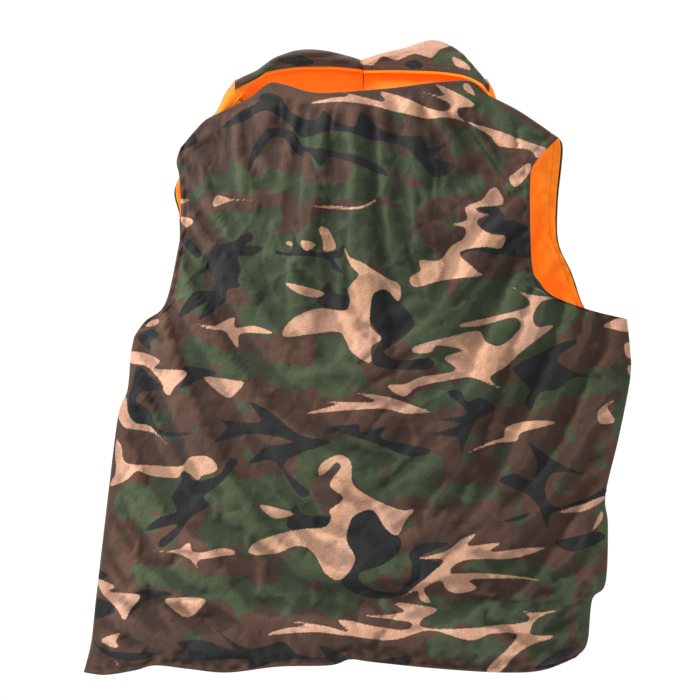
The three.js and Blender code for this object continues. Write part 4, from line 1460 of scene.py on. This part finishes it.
def makeTooth():
    # a moulded tooth: a block on the tape that narrows to a rounded nose at the middle,
    # as reach from the tape, half height and half depth
    sizes = [(0.0, 0.8, 1.0), (0.25, 0.98, 1.25), (1.5, 0.98, 1.25), (1.9, 0.7, 1.0),
             (2.2, 0.72, 0.95), (2.5, 0.6, 0.7)]
    rings = []
    for reach, halfHeight, halfDepth in sizes:
        x = toothFoot - reach
        cutDepth = halfDepth * toothCorner
        cutHeight = halfHeight * toothCorner
        rings.append([
            (x, -halfDepth, -cutHeight), (x, -cutDepth, -halfHeight), (x, cutDepth, -halfHeight),
            (x, halfDepth, -cutHeight), (x, halfDepth, cutHeight), (x, cutDepth, halfHeight),
            (x, -cutDepth, halfHeight), (x, -halfDepth, cutHeight),
        ])
    return makeItem("tooth", rings)


stitch = makeStitch(2.5, 0.34)
tooth = makeTooth()
stitchStep = 0.0032
stitchLift = 0.12      # how far the thread stands off the cloth
toothStep = 0.0024


def seamRoutes(panel, reader, lift):
    # topstitching: along the hem, up the open edges and, on a front, beside the zip
    outline = panel["outline"]
    lines = []
    u = np.linspace(0.01, 0.99, 260)
    heights = span(outline, (u, 0 * u), (u, 1 + 0 * u))
    lines.append(reader(panel, u, panel["stitchIn"][2] / heights, lift=lift))
    v = np.linspace(body["seamShare"] + 0.012, 0.985, 140)
    widths = span(outline, (0 * v, v), (1 + 0 * v, v))
    lines.append(reader(panel, 1 - panel["stitchIn"][1] / widths, v, lift=lift))
    if panel["name"] != "back":
        v = np.linspace(0.01, 0.985, 220)
        widths = span(outline, (0 * v, v), (1 + 0 * v, v))
    lines.append(reader(panel, panel["stitchIn"][0] / widths, v, lift=lift))
    return [toRow(line) for line in lines]


stitchedLayers = (
    (shellPoints, darkThread, "stitches"), (liningPoints, orangeThread, "lining_stitches"),
)
for panel in (back, fronts[1], fronts[-1]):
    for reader, thread, kind in stitchedLayers:
        row = layRow(f"{panel['name']}_{kind}", seamRoutes(panel, reader, stitchLift), stitch,
                     stitchStep, thread, True, stitchLift)
        if panel["name"] == "back":
            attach(row, "body")
        else:
            bendWithLeaf(row, 1 if panel["name"] == "left" else -1)


def collarStitches():
    for side in (1, -1):
        first, last = collarFold[side][0][0], centreX - (1 if side < 0 else -2)
        x = np.linspace(first - side * 3, last, 120)
        seam, stand, middle, edge = collarLine(side, x)
        height = np.minimum(edge + collar["stitchUp"], middle - 0.5)
        face = stand + 2 * collar["roll"] + 0.1
        wave = collar["waver"] * collarWaver(x, 3 * height)
        share = 0.82
        line = np.stack([x, face + wave * math.sin(math.pi * share * 1.1), height], -1)
        row = layRow(f"{sideName[side]}_collar_stitches", [toRow(line)], stitch, stitchStep, darkThread,
                     True, stitchLift)
        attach(row, f"{sideName[side]}_leaf")


collarStitches()
print("stitches made")


# Zips, in a frame of their own: x across, z along, outwards at -y
zipSizes = {
    "tapeInner": 4.5, "mainTape": 11, "pocketTape": 8.5, "half": 0.35, "recess": 3.0,
    "length": 636, "foot": 30, "sliderLength": 11, "sliderHalf": 4.0, "plate": 1.3, "slot": 1.7,
    "web": 1.2, "gap": 0.3, "crownWidth": 3.0, "crownLength": 8.0, "crownLeg": 1.3,
    "crownClear": 1.9, "pullWidth": 7.0, "pullLength": 26.0, "pullThick": 1.2, "pullBar": 1.4,
    "mainHeight": 8, "pocketHeight": 6, "pin": 14, "stop": 3, "box": 6,
}


def plate(outlines, thickness, bevel):
    # a flat piece with rounded edges, from outlines in its own plane, as a mesh in millimetres
    data = bpy.data.curves.new("plate", "CURVE")
    data.dimensions = "2D"
    data.fill_mode = "BOTH"
    data.extrude = thickness / 2 - bevel
    data.bevel_depth = bevel
    data.bevel_resolution = 2
    data.offset = -bevel
    for outline in outlines:
        route = data.splines.new("POLY")
        route.points.add(len(outline) - 1)
        route.use_cyclic_u = True
        for point, (x, y) in zip(route.points, outline):
            point.co = (x, y, 0, 1)
    thing = bpy.data.objects.new("plate", data)
    bpy.context.scene.collection.objects.link(thing)
    mesh = bpy.data.meshes.new_from_object(thing.evaluated_get(bpy.context.evaluated_depsgraph_get()))
    bpy.data.objects.remove(thing)
    return mesh


def turnTo(xAxis, yAxis, zAxis, origin=(0, 0, 0)):
    matrix = Matrix((xAxis, yAxis, zAxis)).transposed().to_4x4()
    return Matrix.Translation(Vector(origin)) @ matrix


def rounded(x0, x1, y0, y1, radius, steps=4):
    # a rectangle with round corners
    points = []
    corners = [(x1 - radius, y1 - radius, 0), (x0 + radius, y1 - radius, 90),
               (x0 + radius, y0 + radius, 180), (x1 - radius, y0 + radius, 270)]
    for cx, cy, start in corners:
        for k in range(steps + 1):
            a = math.radians(start + 90 * k / steps)
            points.append((cx + radius * math.cos(a), cy + radius * math.sin(a)))
    return points


def gather(name, parts, frameMatrix, material):
    # meshes in millimetres, each with its own place, as one object of the zip's frame
    points, faces = [], []
    for mesh, matrix in parts:
        first = len(points)
        points += [frameMatrix @ (matrix @ vertex.co) for vertex in mesh.vertices]
        faces += [[first + k for k in face.vertices] for face in mesh.polygons]
    mesh = bpy.data.meshes.new(name)
    mesh.from_pydata(toRow([tuple(point) for point in points]).tolist(), [], faces)
    mesh.polygons.foreach_set("use_smooth", np.ones(len(mesh.polygons), bool))
    mesh.set_sharp_from_angle(angle=math.radians(35))
    return addObject(name, mesh, material)


facingOut = turnTo((1, 0, 0), (0, 0, 1), (0, -1, 0))     # drawn in x and z, thick along y
facingSide = turnTo((0, -1, 0), (0, 0, 1), (-1, 0, 0))   # drawn in -y and z, thick along x


def addSlider(prefix, place3, height, bodies):
    size = zipSizes
    top = size["slot"] + size["plate"]
    low, high = height, height + size["sliderLength"]
    half = size["sliderHalf"]
    shield = [(-half, low + 2), (-half + 0.9, low + 0.4), (-half + 2, low), (half - 2, low),
              (half - 0.9, low + 0.4), (half, low + 2), (half - 0.1, high - 4),
              (half - 0.6, high - 1.2), (half - 1.8, high), (1.2, high - 0.7), (-1.2, high - 0.7),
              (-half + 1.8, high), (-half + 0.6, high - 1.2), (-half + 0.1, high - 4)]
    flange = [rounded(-half, -half + 0.9, low + 2.2, high - 1.6, 0.4),
              rounded(half - 0.9, half, low + 2.2, high - 1.6, 0.4)]
    middle = size["slot"] + size["plate"] / 2
    parts = []
    for sign in (-1, 1):
        cheek = Matrix.Translation((0, sign * middle, 0)) @ facingOut
        parts.append((plate([shield], size["plate"], 0.3), cheek))
    web = rounded(-size["web"], size["web"], low + 5, high - 0.9, 0.5)
    parts.append((plate([web], 2 * size["slot"] + 0.4, 0.05), facingOut))
    for lip in flange:
        parts.append((plate([lip], 0.8, 0.2), Matrix.Translation((0, -size["slot"] - 0.1, 0)) @ facingOut))
        parts.append((plate([lip], 0.8, 0.2), Matrix.Translation((0, size["slot"] + 0.1, 0)) @ facingOut))
    slider = gather(f"{prefix}_slider_detail", parts, place3, darkMetal)
    foot, roof = top + size["gap"], top + size["crownClear"]
    peak = roof + size["crownLeg"]
    crownFoot = height + (size["sliderLength"] - size["crownLength"]) / 2
    leg, long = size["crownLeg"], size["crownLength"]
    arch = [(foot, 0), (peak - 0.9, 0), (peak - 0.3, 0.3), (peak, 1.0), (peak, long - 1.0),
            (peak - 0.3, long - 0.3), (peak - 0.9, long), (foot, long), (foot, long - leg),
            (roof, long - leg), (roof, leg), (foot, leg)]
    arch = [(y, z + crownFoot) for y, z in arch]
    crown = gather(f"{prefix}_crown_detail", [(plate([arch], size["crownWidth"], 0.25), facingSide)],
                   place3, darkMetal)
    pivot = (-(top + size["crownClear"] / 2), crownFoot + leg + size["pullBar"] / 2 + size["gap"])
    barHalf, half = size["pullBar"] / 2, size["pullWidth"] / 2
    tip = barHalf - size["pullLength"]
    waist, neck = half - 1.3, half - 0.5
    tab = [(-neck, barHalf), (-half, barHalf - 0.6), (-half, -4.6), (-waist, -7.5), (-waist, -11),
           (-half, -15)]
    bottom = [(half * math.cos(a), tip + half + half * math.sin(a))
              for a in np.linspace(math.pi, 2 * math.pi, 12)]
    tab = tab + bottom + [(-x, y) for x, y in tab[::-1]]
    window = rounded(-2.0, 2.0, -barHalf - 3.0, -barHalf, 0.6)
    slot = rounded(-1.3, 1.3, tip + 3.2, tip + 8.5, 1.2)
    parts = [(plate([tab, window, slot], size["pullThick"], 0.3), facingOut)]
    matrix = place3 @ Matrix.Translation((0, pivot[0], pivot[1]))
    pull = gather(f"{prefix}_pull_detail", parts, matrix, darkMetal)
    for thing, node, owner in ((slider, "slider", 0), (crown, "crown", 0), (pull, "pull", 1)):
        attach(thing, bodies[owner])
        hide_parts(f"{prefix}_{node}")


def addTape(name, node, sign, outer, length, place3, owner):
    # tape: thin, a bead along its inner edge and a little waver down its length
    inner, half = zipSizes["tapeInner"], zipSizes["half"]
    profile = [(0, -0.9), (0.05, -1.0), (0.25, -1.0), (0.4, -0.7), (0.95, -0.7), (1, 0),
               (0.95, 0.7), (0.4, 0.7), (0.25, 1.0), (0.05, 1.0), (0, 0.9)]
    rows = int(length / 4)
    z = np.linspace(0.2, length - 0.2, rows)
    waver = 0.05 * np.sin(z / 17) + 0.04 * np.sin(z / 6.3)
    points = [[(sign * mix(inner, outer, a), half * b * 0.75 + w, height) for a, b in profile + profile[:1]]
              for height, w in zip(z, waver)]
    points = np.array([[tuple(place3 @ Vector(point)) for point in row] for row in points])
    outward = place3.to_3x3() @ Vector((0, -1, 0))
    middle = points[rows // 2, 3:5]
    normal = np.cross(middle[1] - middle[0], points[rows // 2 + 1, 3] - middle[0])
    faces = gridFaces(rows, len(profile) + 1, normal @ np.array(outward) < 0)
    thing = addObject(name, buildMesh(name, points.reshape(-1, 3), faces), tapeCloth)
    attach(thing, owner)
    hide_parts(node)


def addTeeth(name, node, sign, span2, place3, owner, shift):
    start, end = span2[0] + 0.8 + shift, span2[1] - 0.8
    line = [(0, 0, start / 1000), (0, 0, end / 1000)]
    row = layRow(name, [line], tooth, toothStep, brass, False)
    mesh = row.data
    found = np.empty(len(mesh.vertices) * 3)
    mesh.vertices.foreach_get("co", found)
    local = found.reshape(-1, 3) * 1000
    local[:, 0] *= sign
    moved = np.array([tuple(place3 @ Vector(point)) for point in local])
    mesh.vertices.foreach_set("co", toRow(moved).ravel())
    if sign < 0:
        mesh.flip_normals()
    mesh.update()
    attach(row, owner)
    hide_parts(node)


def addBlock(name, node, x, z, place3, owner, deep=1.3):
    parts = [(plate([rounded(x[0], x[1], z[0], z[1], 0.5)], 2 * deep, 0.3), facingOut)]
    thing = gather(name, parts, place3, darkMetal)
    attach(thing, owner)
    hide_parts(node)


def buildFrontZip():
    size = zipSizes
    depth = body["centreDepth"] - 1.0 - 0.3 - size["half"] - size["recess"]
    place3 = Matrix.Translation((centreX, -depth, size["foot"]))
    pinFoot = size["mainHeight"] + size["sliderLength"] + 3
    rowTop = size["length"] - size["stop"] - 2
    rowSpans = {1: (pinFoot + size["pin"] + 0.3, rowTop), -1: (size["box"] + 0.3, rowTop)}
    for side in (1, -1):
        name = sideName[side]
        leaf = f"{name}_leaf"
        addTape(f"{name}_zip_tape_cloth", f"{name}_zip_tape", side, size["mainTape"], size["length"],
                place3, leaf)
        addTeeth(f"{name}_zip_teeth_row", f"{name}_zip_teeth", side, rowSpans[side], place3, leaf,
                 0 if side > 0 else 1.2)
        x = (1.6, 4.2) if side > 0 else (-4.2, -1.6)
        addBlock(f"{name}_zip_stop_detail", f"{name}_zip_stop", x, (rowTop + 0.3, rowTop + 3.3),
                 place3, leaf)
    addBlock("zip_pin_detail", "zip_pin", (1.6, 4.2), (pinFoot, pinFoot + size["pin"]), place3, "left_leaf")
    addBlock("zip_box_detail", "zip_box", (-4.2, 1.6), (0, size["box"]), place3, "right_leaf")
    addSlider("front", place3, size["mainHeight"], ("front_slider", "front_pull"))


pockets = {
    "line": {1: ((284, 222), (228, 357)), -1: ((-296, 222), (-240, 357))}, "standoff": 6.6,
    "half": 10, "end": 8, "hole": 6, "thick": 3.0,
}


def pocketPlace(side):
    # the pocket zip's frame, on the front's outer face
    def onShell(x, h):
        return Vector((x, -float(frontDepth(np.array(float(x)), np.array(float(h)))), h))
    low, high = (onShell(*point) for point in pockets["line"][side])
    along = (high - low).normalized()
    middle = (low + high) / 2
    reach = pockets["half"]
    near = onShell(middle.x - reach * along.z, middle.z + reach * along.x)
    far = onShell(middle.x + reach * along.z, middle.z - reach * along.x)
    inward = along.cross(far - near).normalized()
    across = inward.cross(along)
    return turnTo(across, inward, along, low - inward * pockets["standoff"]), (high - low).length


def weltRing(place3, length):
    # a padded cloth frame round the zip: a round-cornered path with a cushioned section
    half, end, hole, thick = (pockets[key] for key in ("half", "end", "hole", "thick"))
    middle, wide = (half + hole) / 2, (half - hole) / 2
    path = np.array(rounded(-middle, middle, -end + wide, length + end - wide, 3.0, 5))
    path = np.vstack([path, path[:1]])
    spaced = lengthwise(path)(np.linspace(0, 1, 200, endpoint=False))
    ahead = np.roll(spaced, -1, axis=0) - np.roll(spaced, 1, axis=0)
    ahead /= np.linalg.norm(ahead, axis=1)[:, None]
    side = np.stack([ahead[:, 1], -ahead[:, 0]], axis=-1)
    base = zipSizes["half"] + 0.3
    section = [(-1, 1.0), (-1, 0.35), (-0.9, 0.12), (-0.6, 0.02), (-0.15, 0.1), (0, 0.16),
               (0.15, 0.1), (0.6, 0.02), (0.9, 0.12), (1, 0.35), (1, 1.0)]
    rows = []
    for reach, depth in section + section[:1]:
        flat = spaced + side * reach * wide
        level = base + depth * thick
        ring = [(x, level, z) for x, z in flat]
        rows.append(ring + ring[:1])
    return np.array([[tuple(place3 @ Vector(point)) for point in row] for row in rows]), spaced, base


def buildPocket(side):
    name = sideName[side]
    place3, length = pocketPlace(side)
    points, middle, base = weltRing(place3, length)
    outward = np.array(place3.to_3x3() @ Vector((0, -1, 0)))
    row, column = 3, 20
    corner = points[row, column]
    normal = np.cross(points[row, column + 1] - corner, points[row + 1, column] - corner)
    faces = gridFaces(*points.shape[:2], normal @ outward < 0)
    fields = withPrint(points, True)
    weltName = f"{name}_pocket_welt_cloth"
    welt = addObject(weltName, buildMesh(weltName, points.reshape(-1, 3), faces, fields), camouflage)
    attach(welt, "body")
    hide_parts(f"{name}_pocket_welt")
    line = [tuple(place3 @ Vector((x, base + 0.1 * pockets["thick"], z))) for x, z in middle]
    row = layRow(f"{name}_pocket_stitches", [toRow(line)], stitch, stitchStep, darkThread, True, 0.1)
    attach(row, "body")
    for sign, where in ((1, "rear"), (-1, "front")):
        node = f"{name}_pocket_{where}"
        addTape(f"{node}_tape_cloth", f"{node}_tape", sign, zipSizes["pocketTape"], length, place3, "body")
        addTeeth(f"{node}_teeth_row", f"{node}_teeth", sign, (0, length), place3, "body", 0.6 * (1 - sign))
    addSlider(f"{name}_pocket", place3, zipSizes["pocketHeight"],
              (f"{name}_pocket_slider", f"{name}_pocket_pull"))


bagSize = {"u": (0.775, 0.925), "v": (0.222, 0.556), "outer": 1.15, "inner": 1.75}


def buildBag(side):
    # the pocket's bag lies flat between the shell and the padding
    panel = fronts[side]
    name = f"{panel['name']}_pocket_bag"
    u, v = np.meshgrid(np.linspace(*bagSize["u"], 30), np.linspace(*bagSize["v"], 60))
    read = readPanel(panel, u, v)
    outer, inner = (stack(panel, read, read["depth"] + read["fold"] - bagSize[key])
                    for key in ("outer", "inner"))
    bag = addSlab(f"{name}_cloth", outer, inner, (0, -1, 0), bagCloth)
    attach(bag, "body")
    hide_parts(name)


buildFrontZip()
for side in (1, -1):
    buildPocket(side)
    buildBag(side)
print("zips made")


# Floor, light and camera
def addStage():
    floorHeight, floorRadius = -0.85, 0.62
    around = [k * 2 * math.pi / 64 for k in range(64)]
    ring = [(floorRadius * math.cos(a), floorRadius * math.sin(a), floorHeight) for a in around]
    mesh = bpy.data.meshes.new("floor")
    mesh.from_pydata(ring, [], [list(range(64))])
    pale, tree, shader = newMaterial("pale_floor")
    shader.inputs["Base Color"].default_value = (0.9, 0.9, 0.9, 1)
    shader.inputs["Roughness"].default_value = 0.8
    floor = addObject("floor", mesh, pale)


def addLight(name, place3, aim, size, energy):
    lamp = bpy.data.lights.new(name, "AREA")
    lamp.size = size
    lamp.energy = energy
    thing = bpy.data.objects.new(name, lamp)
    bpy.context.scene.collection.objects.link(thing)
    turn = (Vector(aim) - Vector(place3)).to_track_quat("-Z", "Y").to_matrix().to_4x4()
    thing.matrix_world = Matrix.Translation(Vector(place3)) @ turn


def addWorld(seen, lit):
    # white to the camera and a little dimmer as light
    world = bpy.data.worlds.new("studio")
    bpy.context.scene.world = world
    world.use_nodes = True
    tree = world.node_tree
    tree.nodes.clear()
    behind = place(tree, "ShaderNodeBackground", {"Color": (1, 1, 1, 1), "Strength": seen})
    light = place(tree, "ShaderNodeBackground", {"Color": (1, 1, 1, 1), "Strength": lit})
    ray = place(tree, "ShaderNodeLightPath").outputs["Is Camera Ray"]
    both = place(tree, "ShaderNodeMixShader", {0: ray, 1: light.outputs[0], 2: behind.outputs[0]})
    place(tree, "ShaderNodeOutputWorld", {"Surface": both.outputs[0]})


cameraPlace = {"at": (0.006, 2.36, -0.3076), "lens": 100, "sensor": 36}


def addCamera():
    data = bpy.data.cameras.new("camera")
    data.lens = cameraPlace["lens"]
    data.sensor_width = cameraPlace["sensor"]
    camera = bpy.data.objects.new("camera", data)
    bpy.context.scene.collection.objects.link(camera)
    camera.location = cameraPlace["at"]
    camera.rotation_euler = (math.radians(90), 0, math.radians(180))
    bpy.context.scene.camera = camera


addStage()
addLight("key", (1.2, 0.55, 0.65), (0, 0, -0.3), 0.35, 30)
addLight("fill", (-1.3, 1.6, 0.1), (0, 0, -0.35), 1.2, 10)
addLight("frontKey", (-1.1, -0.7, 0.7), (0, 0, -0.3), 0.4, 24)
addWorld(1.06, 0.46)
addCamera()
bpy.context.scene.view_settings.view_transform = "Standard"

print("finishing")
